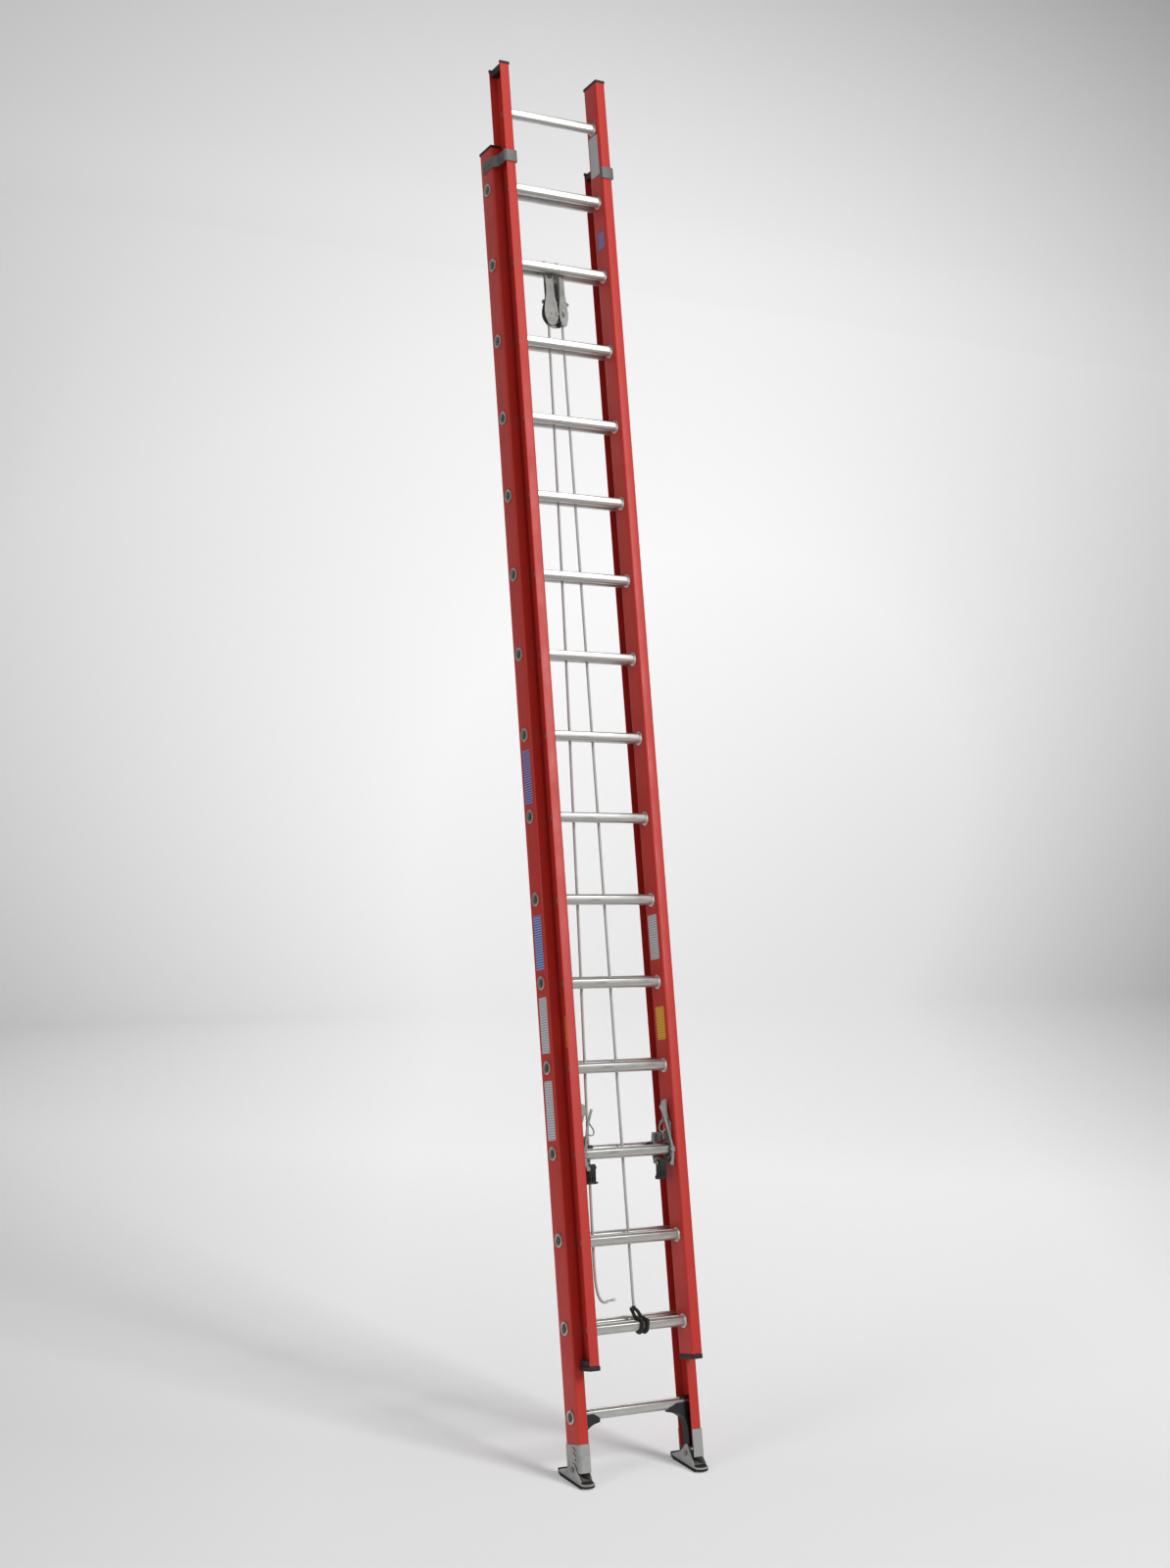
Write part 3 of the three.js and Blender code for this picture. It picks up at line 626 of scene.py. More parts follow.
# ---- guide brackets ----
def add_guides(material):
    low, high = BASE_TOP - 92, BASE_TOP - 46
    outer, beside = BASE_OUT + 1.8, FLY_TIP + 4
    front, inside = FLY.y - HALF - 4, FLY_IN - 4
    path = [(outer, HALF * 0.5), (outer, -HALF - 1)]
    step = -HALF - (outer - beside) + 6
    path += [(outer - 3, -HALF - 5), (beside + 3, step - 5), (beside, step - 10)]
    path += [(beside, front + 4)] + arc(beside - 4, front + 4, 4, 0, -90, 4)
    path += arc(inside + 4, front + 4, 4, -90, -180, 4) + [(inside, front + 14)]
    bm = bmesh.new()
    prism(bm, strip(path, PLATE), "z", low, high)
    for y in (HALF * 0.3, -HALF * 0.45):
        revolve(bm, [(outer + 1, 6), (outer + 2.4, 5.6), (outer + 3.6, 3.6), (outer + 4, 0.4)], "x",
                (y, (low + high) / 2), 20, closed=False)
    obj = soften(finish_mesh("guide", bm, smooth=40), 0.7)
    pair(obj, "guide_bracket", "base_section", "steel", material, "guide_bracket")


# ---- braces under the bottom rung ----
def add_braces(material):
    tip, arm = BASE_TIP - 66, BASE_TIP + 0.3
    web = BASE_OUT - WALL - 0.5
    under = -RUNG / 2 - 8
    foot = PIN_Z + 22
    sweep = [(tip, under), (arm - 34, under - 9), (arm - 10, under - 28), (arm, under - 62)]
    concave = flat_curve(sweep, 6)
    outline = concave + [(arm, foot), (arm + 30, foot), (web, under - 62), (web, RUNG / 2 + 6),
                         (arm, RUNG / 2 + 6), (arm - 30, RUNG / 2 - 6), (tip, under + 14)]
    bm = bmesh.new()
    prism(bm, outline, "y", -20, 20)
    obj = finish_mesh("brace", bm)
    ribs = [
        (arm + 4, foot + 8), (arm + 24, foot + 8), (web - 6, under - 60), (web - 6, under - 8),
        (arm + 2, under - 8),
    ]

    def hollows(tool):
        prism(tool, [(a * 1.02, b * 1.02) for a, b in rung_section()], "x", tip - 5, web + 5)
        for low, high in ((-24, -13), (13, 24)):
            prism(tool, ribs, "y", low, high)
    cut(obj, hollows)
    pair(soften(obj, 1.6, 3), "brace", "base_section", "black_plastic", material, "brace")


# ---- boots and shoes ----
def add_boots(material):
    out, half = BASE_OUT + FIT + PLATE, HALF + FIT + PLATE
    top, low = -91.0, PIN_Z - 12
    bend = arc(out - 9, half - 9, 9, 0, 90, 6)
    inner_bend = arc(out - 9, half - 9, 6, 90, 0, 5)
    upper = bend + [(BASE_TIP, half), (BASE_TIP, half - PLATE)] + inner_bend
    outline = upper + [(a, -b) for a, b in upper[::-1]]
    bm = bmesh.new()
    prism(bm, outline, "z", low, top)
    obj = finish_mesh("boot", bm)

    def openings(tool):
        disc(tool, "x", (0, PIN_Z), BORE, out - 5, out + 3, 24, 0.01)
        for y, z in ((-24, PIN_Z + 4), (30, PIN_Z + 8), (-18, PIN_Z + 34)):
            disc(tool, "x", (y, z), 4.6, out - 5, out + 3, 16, 0.01)
        for y, z in ((-14, top - 14), (-16, top - 32)):
            slot = [(y - 12, z - 6), (y - 8, z - 10), (y + 13, z + 4), (y + 9, z + 8)]
            prism(tool, slot, "x", out - 5, out + 3)
    cut(obj, openings)
    pair(soften(obj, 0.6, 2), "boot", "base_section", "aluminium", material, "boot")


FLOOR = -PIVOT.z * 1000
SOLE_TOP = FLOOR + 20
SOLE_FRONT, SOLE_BACK = 82.0, 98.0


def sole_outline(margin):
    inner = BASE_TIP - 6 + margin
    outer = BASE_OUT + 9.3 - margin
    front = -SOLE_FRONT + margin
    radius = (outer - inner) / 2
    reach = radius * 0.55
    middle_x = (inner + outer) / 2
    rounded = [(middle_x + a * radius, front + reach + b * reach) for a, b in arc(0, 0, 1, 180, 360, 16)]
    back = SOLE_BACK - margin
    return rounded + [(outer, back - 6), (outer - 6, back), (inner + 6, back), (inner, back - 6)]


def add_shoes(alloy, rubber, steel):
    plate_in = (BASE_TIP - 4.2, BASE_TIP - 1.2)
    plate_out = (BASE_OUT + 4.5, BASE_OUT + 7.5)
    bm = bmesh.new()
    prism(bm, sole_outline(0.4), "z", SOLE_TOP - 6, SOLE_TOP)
    for (low, high), spread, top, narrow in ((plate_in, 56, 34, 13), (plate_out, 62, 22, 24)):
        side = [(-spread, SOLE_TOP - 2), (spread, SOLE_TOP - 2), (spread - 4, SOLE_TOP + 8)]
        side += arc(0, top - narrow, narrow, 20, 160, 10) + [(-spread + 4, SOLE_TOP + 8)]
        prism(bm, side, "x", low, high)
    obj = finish_mesh("shoe", bm, SHOE)
    pair(soften(obj, 0.8), "shoe", "shoe_{side}", "aluminium", alloy, "shoe")

    bm = bmesh.new()
    prism(bm, sole_outline(0.2), "z", FLOOR + 5.5, SOLE_TOP - 6.3)
    inner, outer = BASE_TIP - 5, BASE_OUT + 8.3
    for k in range(15):
        y = -SOLE_FRONT + 24 + k * 10
        tread = [(y - 3.4, FLOOR + 6.5), (y - 2.8, FLOOR), (y + 2.8, FLOOR), (y + 3.4, FLOOR + 6.5)]
        prism(bm, tread, "x", inner + 1, outer - 1)
    heel = [(-12, 5), (3, 9), (6, 21), (3, 24), (1, 13.5)]
    prism(bm, [(SOLE_BACK + a, FLOOR + b) for a, b in heel], "x", inner + 2, outer - 2)
    toe = [(x, y) for x, y in sole_outline(5) if y < -SOLE_FRONT + 22] + [(outer - 6, -55), (inner + 6, -55)]
    prism(bm, toe, "z", SOLE_TOP + 0.3, SOLE_TOP + 4.5)
    obj = finish_mesh("pad", bm, SHOE)
    pair(soften(obj, 1.4, 3), "shoe_pad", "shoe_{side}", "rubber", rubber, "shoe_pad")

    bm = bmesh.new()
    disc(bm, "x", (0, 0), 5, plate_in[0] - 3, plate_out[1] + 3, 20)
    disc(bm, "x", (0, 0), 9, plate_out[1] + 0.3, plate_out[1] + 5.6, 6)
    disc(bm, "x", (0, 0), 9, plate_in[0] - 6, plate_in[0] - 0.3, 6)
    disc(bm, "x", (0, 0), 11, plate_out[1] + 0.2, plate_out[1] + 1.4, 24, 0.2)
    obj = finish_mesh("pin", bm, SHOE)
    pair(soften(obj, 0.5), "shoe_pin", "base_section", "steel", steel, "shoe_pin")


# ---- rung locks, swung clear of the base rungs ----
LOCK_X = FLY_IN - 3.5   # lock's outer face
LOCK_SWING = math.radians(-JOINTS["lock_right_pivot"]["range_deg"][0])
SWEEP = 2.7       # hook's mouth to the base rung as it swings
NOSE = 14         # depth of the hook's nose
COIL_TURNS = 5
COIL_STEPS = 12


def tread_corner(side):
    """Reach and angle of a base rung's top edge (front -1, back 1), seen from the fly rung's axis."""
    along, up = side * RUNG / 2, RUNG / 2
    back = -FLY.y + along * math.cos(LEAN) - up * math.sin(LEAN)
    rise = PITCH - FLY.z + along * math.sin(LEAN) + up * math.cos(LEAN)
    return math.hypot(back, rise), math.degrees(math.atan2(rise, back))


def hook_outline():
    """Hook that drops over a base rung, turned up by the lock's swing."""
    near, near_angle = tread_corner(-1)
    far, far_angle = tread_corner(1)
    swing = math.degrees(LOCK_SWING)
    inner, outer = far + SWEEP, far + SWEEP + NOSE
    mouth = arc(0, 0, inner, swing + far_angle + 1.5, swing + far_angle - 22, 6)
    nose = arc(0, 0, outer, swing + far_angle - 21, swing + far_angle + 8, 6)
    neck = [(near - 7.5, near_angle + 3), (inner + 2, far_angle + 17), (near - 2, near_angle + 22)]
    turns = [(reach, math.radians(turn) + LOCK_SWING) for reach, turn in neck]
    low, high, back = [(reach * math.cos(turn), reach * math.sin(turn)) for reach, turn in turns]
    return [low, *mouth, *nose, high, back, (-16, 26), (16, 26)]


def add_locks(steel, black):
    y0, z0 = LOCK.y, LOCK.z

    def side_view(points):
        return [(y0 + a, z0 + b) for a, b in points]

    def front_view(points):
        return [(x, z0 + b) for x, b in points]

    bm = bmesh.new()
    hub = [(-12, 30), (-10, 31.5), (-2, 31.5), (0, 30), (0, 26), (-12, 26)]
    revolve(bm, [(LOCK_X + along, radius) for along, radius in hub], "x", (y0, z0), 40)
    prism(bm, side_view(hook_outline()), "x", LOCK_X - 6, LOCK_X)
    lever = [
        (-14, 27), (-2, 27), (-1, 60), (5, 100), (15, 118), (24, 146), (18, 171), (2, 168),
        (-9, 130), (-15, 90),
    ]
    prism(bm, side_view(lever), "x", LOCK_X - 5.5, LOCK_X - 0.5)
    wing = [
        (156, 160), (162, 174), (174, 181), (189, 180), (183, 160), (184, 140), (190, 104), (184, 100),
        (172, 118), (166, 136), (158, 142),
    ]
    prism(bm, front_view(wing), "y", y0 - 13, y0 - 8)
    upper = [(144, 158), (151, 140), (158, 120), (167, 88), (176, 44), (184, 8), (186, -6)]
    lower = [(186, 6), (184, -16), (180, -36), (172, -56)]
    for path, width in ((upper, 9), (lower, 12)):
        prism(bm, front_view(strip(flat_curve(path, 5), width)), "y", y0 - 31, y0 - 27)
    disc(bm, "y", (175, z0 - 50), 8, y0 - 33, y0 - 26, 20)
    disc(bm, "y", (184, z0), 12, y0 - 35, y0 - 26.5, 6)
    plate = [(136, 66), (154, 66), (156, -46), (134, -46), (128, 20)]
    prism(bm, front_view(plate), "y", y0 + 26.5, y0 + 29.5)
    edge = LOCK_X - 2
    prism(bm, front_view([(152, 58), (edge, 76), (edge, 60), (152, 38)]), "y", y0 + 2, y0 + 6)
    prism(bm, front_view([(151, 62), (156, 64), (156, 34), (151, 34)]), "y", y0 + 3, y0 + 29)
    prism(bm, front_view([(152, -26), (edge, -30), (edge, -44), (152, -44)]), "y", y0 + 24.5, y0 + 28.5)
    prism(bm, side_view([(-2, -28), (27, -28), (28, -44), (4, -44)]), "x", LOCK_X - 6, LOCK_X - 1)
    disc(bm, "x", (FINGER.y, FINGER.z), 5, 130, edge, 20)
    disc(bm, "x", (FINGER.y, FINGER.z), 8, 127, 131, 20)
    obj = finish_mesh("lock", bm)
    pair(soften(obj, 1.0), "rung_lock", "lock_{side}", "steel", steel, "rung_lock")

    bm = bmesh.new()
    loop = [(158, 118), (150, 104), (142, 92), (137, 80), (139, 70), (147, 66), (157, 68), (164, 74)]
    rod(bm, [(a, y0 - 22, z0 + b) for a, b in flat_curve(loop, 6)], 2.6, 10)
    coils = []
    for step in range(COIL_TURNS * COIL_STEPS + 1):
        turn = step / COIL_STEPS * 2 * math.pi
        coils.append((156 + step * 0.27, y0 - 2 + 8 * math.cos(turn), z0 + 46 + 8 * math.sin(turn)))
    rod(bm, coils, 1.6, 8)
    rod(bm, [coils[-1], (176, y0 - 6, z0 + 60), (179, y0 - 8, z0 + 84)], 1.6, 8)
    rod(bm, [coils[0], (154, y0 + 12, z0 + 50), (150, y0 + 25, z0 + 54)], 1.6, 8)
    pair(finish_mesh("spring", bm), "lock_spring", "lock_{side}", "steel", steel)

    bm = bmesh.new()
    low, high = 134, 163
    body = [
        (-13, -34), (13, -34), (15.5, -60), (18, -84), (27, -94), (27, -99), (12, -105),
        (-10, -101), (-13, -60),
    ]
    prism(bm, side_view(body), "x", low, high)
    for x in (low + 6, (low + high) / 2, high - 6):
        prism(bm, side_view([(-15.5, -94), (-14.5, -40), (-12, -40), (-12, -94)]), "x", x - 2.5, x + 2.5)
    tab = [(low - 8, -96), (low + 4, -99), (low + 4, -105), (low - 10, -102)]
    prism(bm, front_view(tab), "y", y0 - 9, y0 + 12)
    obj = finish_mesh("finger", bm)
    cut(obj, lambda tool: disc(tool, "x", (FINGER.y, FINGER.z), BORE, 90, 180, 24, 0.01))
    pair(soften(obj, 1.8, 3), "lock_finger", "finger_{side}", "black_plastic", black, "lock_finger")

    bm = bmesh.new()
    prism(bm, side_view([(23, 10), (23, 30), (26, 34), (42, 30), (44, 18), (32, 12)]), "x", 118, 137)
    pair(soften(finish_mesh("lock_bumper", bm), 2, 3), "lock_bumper", "lock_{side}", "black_plastic", black)


# ---- pulley ----
CHEEKS = ((-52, 5), (11, 48))   # the two front cheeks, from the sheave's centre


def cheek(left, right, z):
    centre, half = (left + right) / 2, (right - left) / 2
    x = SHEAVE.x
    low = z - 47
    anchors = [(centre - half * 0.62, z + PULLEY_DROP - 20), (centre - half * 0.62, z + 88), (left, z + 26),
               (left, z - 12), (centre - half * 0.55, low + 5)]
    lead = flat_curve(anchors, 5)
    back = [(2 * centre - a, b) for a, b in lead[::-1]]
    return [(x + a, b) for a, b in lead + [(centre, low)] + back]


def add_pulley(steel, black):
    z, x, y = SHEAVE.z, SHEAVE.x, SHEAVE.y
    rung_z = z + PULLEY_DROP
    front, rear = y - 15, y + 12
    bm = bmesh.new()
    for left, right in CHEEKS:
        prism(bm, cheek(left, right, z), "y", front, front + PLATE)
        centre, half = x + (left + right) / 2, (right - left) / 2 * 0.6
        block = [(centre - half, 40), (centre + half, 40), (centre + half, 62), (centre - half, 62)]
        prism(bm, [(a, z + b) for a, b in block], "y", front + 1, rear + 1)
    prism(bm, cheek(-48, 48, z), "y", rear, rear + PLATE)
    inner = RUNG / 2 + 7
    for hook_x in (x - 24, x + 29):
        path = [(-inner - 1, z + 70 - rung_z), (-inner - 1, 14)]
        path += [(a, b + 16) for a, b in arc(0, 0, inner, 180, 0, 12)] + [(inner - 1, 2), (inner + 4, -7)]
        prism(bm, strip([(a, b + rung_z) for a, b in path], 5), "x", hook_x - 8, hook_x + 8)
        rod(bm, [(hook_x - 9, -inner + 4, rung_z + 33), (hook_x + 9, -inner + 4, rung_z + 33)], 6, 14)
    obj = finish_mesh("frame", bm)

    def windows(tool):
        for left, right in CHEEKS:
            centre, half = x + (left + right) / 2, (right - left) / 2 * 0.4
            prism(tool, [(centre + a * half, rung_z - 35 + b * 9) for a, b in arc(0, 0, 1, 0, 360, 20)[:-1]],
                  "y", front - 4, front + 6)
        slot = [(x + 29 + a * 6, z + 10 + b * 20) for a, b in arc(0, 0, 1, 0, 360, 20)[:-1]]
        prism(tool, slot, "y", front - 4, front + 6)
        disc(tool, "y", (x, z), BORE, front - 4, rear + 8, 24, 0.01)
    cut(obj, windows)
    obj.name = "pulley_frame_look"
    dress(soften(obj, 0.8), "base_section", "steel", steel, "pulley_frame")

    bm = bmesh.new()
    bolt_z = z + 51
    disc(bm, "x", (y, bolt_z), 4.6, x - 48, x + 62, 20)
    disc(bm, "x", (y, bolt_z), 8, x + 50, x + 57, 6)
    disc(bm, "x", (y, bolt_z), 8, x - 52, x - 46, 6)
    revolve(bm, [(front + 0.5, 6), (front - 1.2, 5.4), (front - 2.4, 3), (front - 2.6, 0.3)], "y",
            (x + (CHEEKS[0][0] + CHEEKS[0][1]) / 2, z), 20, closed=False)
    bolt = finish_mesh("pulley_bolt_look", bm)
    dress(soften(bolt, 0.5), "base_section", "steel", steel)

    bm = bmesh.new()
    disc(bm, "y", (x, z), 5, front - 1, rear + 4, 24)
    disc(bm, "y", (x, z), 8, front - 3, front - 0.3, 24, 1)
    disc(bm, "y", (x, z), 8, rear + 3.3, rear + 6, 24, 1)
    dress(finish_mesh("pulley_axle_look", bm), "base_section", "steel", steel, "pulley_axle")

    bm = bmesh.new()
    rim = SHEAVE_PITCH + 6.5
    bed = [(a, SHEAVE_PITCH + b) for a, b in arc(0, 0, ROPE_R + 0.6, 180, 360, 10)]
    side = [(8, BORE), (8, 11), (5, 12), (5, 21), (8, 23), (8, rim - 1.5), (6.6, rim), (5.6, rim - 1)]
    profile = [(-a, b) for a, b in side] + bed + side[::-1]
    revolve(bm, [(y + along, radius) for along, radius in profile], "y", (x, z), 56)
    dress(finish_mesh("pulley_sheave_look", bm), "sheave", "black_plastic", black, "pulley_sheave")


# ---- rope: a three-strand twist along each fall ----
TAUT_X = SHEAVE.x + SHEAVE_PITCH
TAUT_LOW = FLY.z + 60.3
STRAND_TURN = 34.0


def even_line(anchors, spacing, steps=24):
    """Points about spacing apart along the smooth line through anchors."""
    line = curve_points(anchors, steps)
    points, carry = [line[0]], 0.0
    for one, two in zip(line, line[1:]):
        carry += (two - one).length
        if carry >= spacing:
            points.append(two)
            carry = 0.0
    if (points[-1] - line[-1]).length > spacing / 3:
        points.append(line[-1])
    else:
        points[-1] = line[-1]
    return points


def twist(name, points):
    """A laid rope of three strands, with its own centreline in the row frame."""
    travelled = [0.0]
    for one, two in zip(points, points[1:]):
        travelled.append(travelled[-1] + (two - one).length)

    def lobes(index, turn):
        return 0.94 + 0.12 * abs(math.cos(1.5 * (turn - 2 * math.pi * travelled[index] / STRAND_TURN)))
    bm = bmesh.new()
    rod(bm, points, ROPE_R, 18, lobes)
    obj = finish_mesh(name, bm, smooth=80)
    centre = [tuple(LADDER @ (p / 1000)) for p in points]
    return obj, centre, travelled[-1] / 1000


def add_rope(material):
    low, high = Vector((TAUT_X, ROPE_Y, TAUT_LOW)), Vector((TAUT_X, ROPE_Y, SHEAVE.z))
    count = int((high - low).length / 4)
    points = [low.lerp(high, k / count) for k in range(count + 1)]
    taut, centre, length = twist("rope_taut_look", points)
    dress(taut, "base_section", "rope", material, "rope_taut")
    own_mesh(taut)

    over = [(TAUT_X, SHEAVE.z + 0.3), (TAUT_X, SHEAVE.z + 1.3)]
    over += [(SHEAVE.x + a, SHEAVE.z + 0.3 + b) for a, b in arc(0, 0, SHEAVE_PITCH, 15, 180, 11)]
    down = [
        (-50, 3950), (-55, 3700), (-61, 3400), (-70, 3000), (-80, 2600), (-91, 2200), (-102, 1800),
        (-114, 1400), (-125, 1050), (-132, 800), (-137, 600), (-138, 492), (-134, 427), (-123, 394),
        (-107, 382), (-91, 386),
    ]
    anchors = [Vector((x, ROPE_Y, z)) for x, z in over + down]
    free, centre, length = twist("rope_free_look", even_line(anchors, 4, 100))
    dress(free, "base_section", "rope", material, "rope_free")
    bm = bmesh.new()
    end = anchors[-1]
    for k in range(14):
        turn = 2 * math.pi * k / 14
        off = Vector((0, math.cos(turn), math.sin(turn))) * 2.6
        tip = end + Vector((22 + 5 * (k % 3), 0, 2)) + off * 2.1
        rod(bm, [end - Vector((4, 0, 0)) + off * 0.6, end + Vector((9, 0, 1)) + off * 1.2, tip], 0.7, 5)
    fray = finish_mesh("rope_fray_look", bm)
    dress(fray, "base_section", "rope", material)


# ---- rope clamp on the fly's bottom rung ----
def add_clamp(black):
    y0, z0, x = FLY.y, FLY.z, TAUT_X
    bar, loops = 6.4, (-8, 14)
    bm = bmesh.new()
    for shift in loops:
        grown = [(a * 1.36, b * 1.36) for a, b in rung_section()[::2]]
        loop = [Vector((x + shift, y0 + a, z0 + b)) for a, b in grown]
        rod(bm, loop + loop[:1], bar, 12)
    left = [(x - 8, y0 + 16, z0 + 20), (x - 9, y0 + 24, z0 + 36), (x - 9, ROPE_Y - 4, z0 + 50),
            (x - 8, ROPE_Y, z0 + 57)]
    right = [(x + 14, y0 + 16, z0 + 20), (x + 15, y0 + 24, z0 + 34), (x + 12, ROPE_Y - 5, z0 + 48),
             (x + 6, ROPE_Y, z0 + 56), (x - 2, ROPE_Y, z0 + 58), (x - 10, ROPE_Y, z0 + 57)]
    for line in (left, right):
        rod(bm, curve_points(line, 6), bar, 12)
    ferrule = [(x - 15, 2), (x - 14, 6.5), (x - 11, 8), (x - 6, 8), (x - 4, 6)]
    revolve(bm, ferrule, "x", (ROPE_Y, z0 + 57), 18, closed=False)
    rod(bm, [(x, ROPE_Y, z0 + 56), (x, ROPE_Y, z0 + 68)], 7.5, 16)
    obj = finish_mesh("rope_clamp_look", bm, smooth=60)
    dress(obj, "fly_section", "black_plastic", black, "rope_clamp")


# ---- round clip in the left fly channel ----
def add_clip(steel):
    face = -(FLY_IN + WALL)
    bm = bmesh.new()
    profile = [(0.5, 15), (-3, 16), (-5, 14), (-5, 7), (-8, 6), (-8, 0.5)]
    centre = (FLY.y - 6, FLY.z + 161)
    revolve(bm, [(face + along, radius) for along, radius in profile], "x", centre, 28, closed=False)
    dress(finish_mesh("rail_clip_look", bm), "fly_section", "steel", steel)


# ---- labels: plain plates ----
LABEL_CORNER = 4
LABEL_THICK = 0.35


def label(name, side, face, y, z, width, height, body, material):
    """A thin sticker on the rail web whose face is that far from the middle, left (-1) or right (1)."""
    bm = bmesh.new()
    outline = []
    for cy, cz, start in ((1, 1, 0), (-1, 1, 90), (-1, -1, 180), (1, -1, 270)):
        centre = (y + cy * (width / 2 - LABEL_CORNER), z + cz * (height / 2 - LABEL_CORNER))
        outline += arc(*centre, LABEL_CORNER, start, start + 90, 4)
    low, high = sorted((side * face, side * (face + LABEL_THICK)))
    prism(bm, outline, "x", low, high)
    dress(finish_mesh(name, bm), body, "black_plastic", material)


def add_labels():
    violet = printed("label_violet", (0.10, 0.05, 0.30), (0.45, 0.45, 0.62))
    blue = printed("label_blue", (0.05, 0.12, 0.42), (0.50, 0.58, 0.75))
    white = printed("label_white", (0.62, 0.62, 0.64), (0.26, 0.26, 0.30))
    yellow = printed("label_yellow", (0.80, 0.42, 0.03), (0.55, 0.25, 0.02))
    out = BASE_OUT + 0.05
    for name, z, height, material in (("violet", 2280, 204, violet), ("blue", 1670, 197, blue),
                                      ("white_a", 1370, 202, white), ("white_b", 1066, 211, white)):
        label(f"label_base_{name}", -1, out, 0, z, 56, height, "base_section", material)
    inner = FLY_IN - 0.4
    for name, y, z, width, height, material in (
            ("white_top", 4, 4753, 62, 165, white), ("violet_dot", 0, 4402, 44, 70, violet),
            ("white_mid", 4, 1678, 60, 165, white), ("yellow", 0, 1360, 56, 120, yellow)):
        label(f"label_fly_{name}", 1, inner, FLY.y + y, z, width, height, "fly_section", material)
    label("label_fly_small", -1, FLY_IN + WALL + 0.05, FLY.y, 1341, 50, 115, "fly_section", yellow)


# ---- floor, backdrop and light ----
# Painted light on floor and backdrop: a bright pool about this centre, turned by this angle, and a glow
# (emission) of the painted colour, though neither is a lamp.
PAINTED_POOL_CENTRE = (8.6, 13.0, 1.2)
BACKDROP_TURN = math.radians(30)
STAGE_PAINTED_GLOW = 0.35
AMBIENT = 0.20


def add_stage():
    """Pale floor and a backdrop that leans forwards from its foot, then back, with painted light fading from
    a bright pool to its top and sides, painted shade on the floor nearer the camera, and a painted glow on
    both though neither is a lamp.
    It stands between the ladder and a camera behind it, so a view from behind shows only the backdrop."""
    bm = bmesh.new()
    profile = [(-14, 0), (9, 0)]
    profile += [(9 + b, 5 + a) for a, b in arc(0, 0, 5, -90, 0, 16)] + [(14, 24)]
    rows = [[bm.verts.new((x, y, z)) for y, z in profile] for x in (-25, 30)]
    for i in range(len(profile) - 1):
        bm.faces.new((rows[0][i], rows[1][i], rows[1][i + 1], rows[0][i + 1]))
    mesh = bpy.data.meshes.new("floor")
    bm.to_mesh(mesh)
    bm.free()
    mesh.shade_smooth()
    floor = bpy.data.objects.new("floor", mesh)
    bpy.context.scene.collection.objects.link(floor)
    shader = Shader("floor")
    spot = shader.add("ShaderNodeVectorMath")
    spot.operation = "SUBTRACT"
    shader.link(shader.plain, spot.inputs[0])
    spot.inputs[1].default_value = PAINTED_POOL_CENTRE
    turned = shader.add("ShaderNodeMapping")
    turned.inputs["Rotation"].default_value = (0, 0, BACKDROP_TURN)
    shader.link(spot.outputs[0], turned.inputs["Vector"])
    flat = shader.add("ShaderNodeVectorMath")
    flat.operation = "MULTIPLY"
    flat.inputs[1].default_value = (1.15, 0.05, 1.0)
    shader.link(turned.outputs[0], flat.inputs[0])
    reach = shader.add("ShaderNodeVectorMath")
    reach.operation = "LENGTH"
    shader.link(flat.outputs[0], reach.inputs[0])
    grain = shader.span(shader.noise(3, 4, stretched=False), -0.01, 0.01)
    # painted light falloff: bright at the pool centre, fading to near black towards the top and sides
    painted_falloff = shader.span(reach.outputs["Value"], 0, 1, 2.5, 11)
    # Painted shade: the floor is darker towards the camera, 0.66 against 0.93 further back.
    depth = shader.add("ShaderNodeSeparateXYZ")
    shader.link(turned.outputs[0], depth.inputs[0])
    near = shader.mix(shader.span(depth.outputs["Y"], 0, 1, -16, -11), (0.66, 0.66, 0.66), (0.93, 0.93, 0.93))
    shade = shader.mix(painted_falloff, near, (0.14, 0.14, 0.144))
    # the painted light and shade is used both as colour and as glow
    shader.link(shade, shader.bsdf.inputs["Base Color"])
    shader.link(shade, shader.bsdf.inputs["Emission Color"])
    shader.bump(grain, 0.02, 0.5)
    shader.set(roughness=0.8, specular_ior_level=0.2, emission_strength=STAGE_PAINTED_GLOW)
    mesh.materials.append(shader.material)


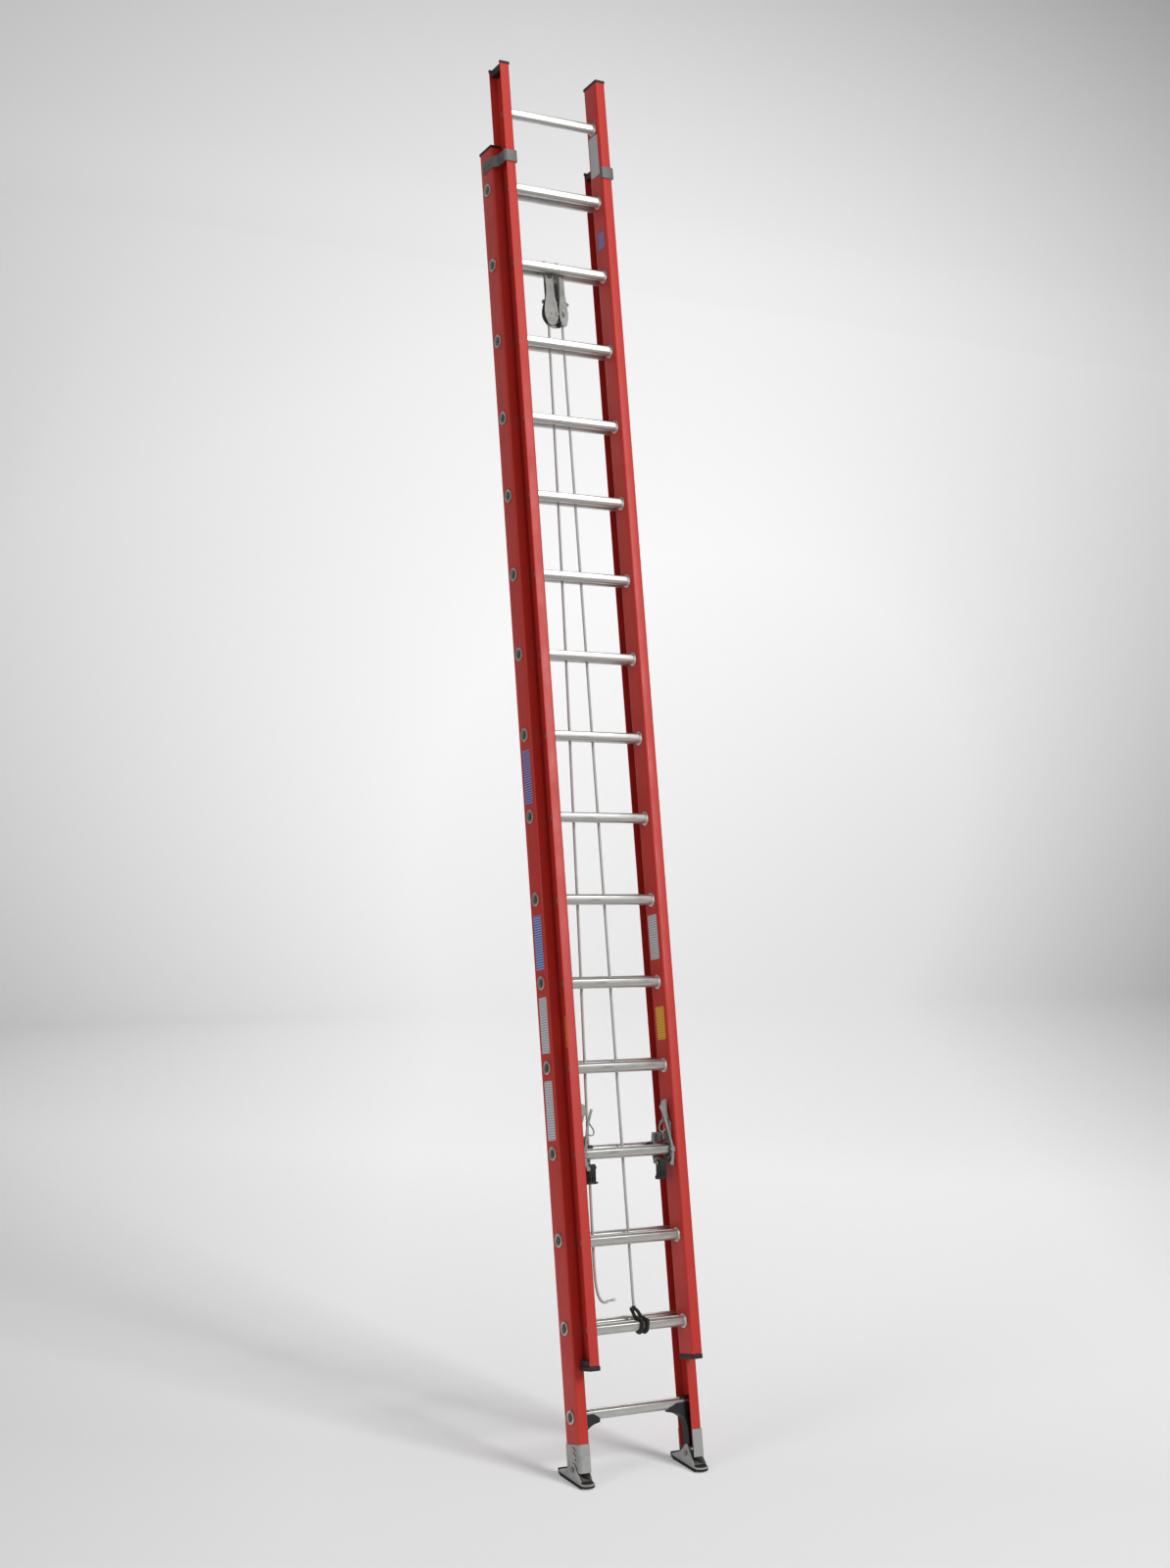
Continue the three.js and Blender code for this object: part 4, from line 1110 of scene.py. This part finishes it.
def area_light(name, at, aim, width, height, power):
    data = bpy.data.lights.new(name, "AREA")
    data.shape = "RECTANGLE"
    data.size, data.size_y = width, height
    data.energy = power
    light = bpy.data.objects.new(name, data)
    bpy.context.scene.collection.objects.link(light)
    look = (Vector(aim) - Vector(at)).to_track_quat("-Z", "Y")
    light.matrix_world = Matrix.Translation(at) @ look.to_matrix().to_4x4()


def add_light():
    bpy.context.scene.view_settings.view_transform = "Standard"
    world = bpy.data.worlds.new("studio")
    bpy.context.scene.world = world
    world.use_nodes = True
    world.node_tree.nodes["Background"].inputs["Color"].default_value = (1, 1, 1, 1)
    world.node_tree.nodes["Background"].inputs["Strength"].default_value = AMBIENT
    area_light("key", (3.2, -7.5, 6.6), (0, 0, 3.6), 3.0, 4, 500)
    area_light("fill", (-7.5, -2.5, 4), (0, 0, 2.4), 3, 5, 150)
    area_light("top", (0, -1.5, 8.5), (0, 0, 2.4), 4, 4, 60)


def build():
    red = fibreglass()
    # the rung aluminium has painted shade in its bores, within 14.8 mm of the rung axis
    alloy = metal("aluminium", (0.58, 0.58, 0.555), 0.40, (0.02, 1, 1), 0.2, 0.02, bore=0.0148)
    shoe_alloy = metal("cast_aluminium", (0.46, 0.46, 0.45), 0.55, (1, 1, 0.3), 0.35, 0.1, metallic=0.7)
    steel = metal("zinc_steel", (0.27, 0.27, 0.26), 0.5, (1, 1, 0.5), 0.35, 0.1, metallic=0.6)
    guide_steel = metal("guide_steel", (0.19, 0.19, 0.185), 0.45, (1, 1, 0.5), 0.35, 0.1, metallic=0.7)
    black = moulded("black_plastic", (0.006, 0.006, 0.006), 0.55)
    rubber = moulded("tread_rubber", (0.007, 0.007, 0.007), 0.8, 900, 0.3)
    add_rails(red)
    add_rungs("base", BASE_OUT - WALL, BASE_OUT, Vector((0, 0, 0)), "base_section", alloy)
    add_rungs("fly", FLY_IN, FLY_IN + WALL, FLY, "fly_section", alloy)
    add_caps(black)
    add_guides(guide_steel)
    add_braces(black)
    add_boots(shoe_alloy)
    add_shoes(shoe_alloy, rubber, steel)
    add_locks(steel, black)
    add_pulley(steel, black)
    add_rope(rope_fibre())
    add_clamp(black)
    add_clip(steel)
    add_labels()


add_camera()
build()
add_stage()
add_light()
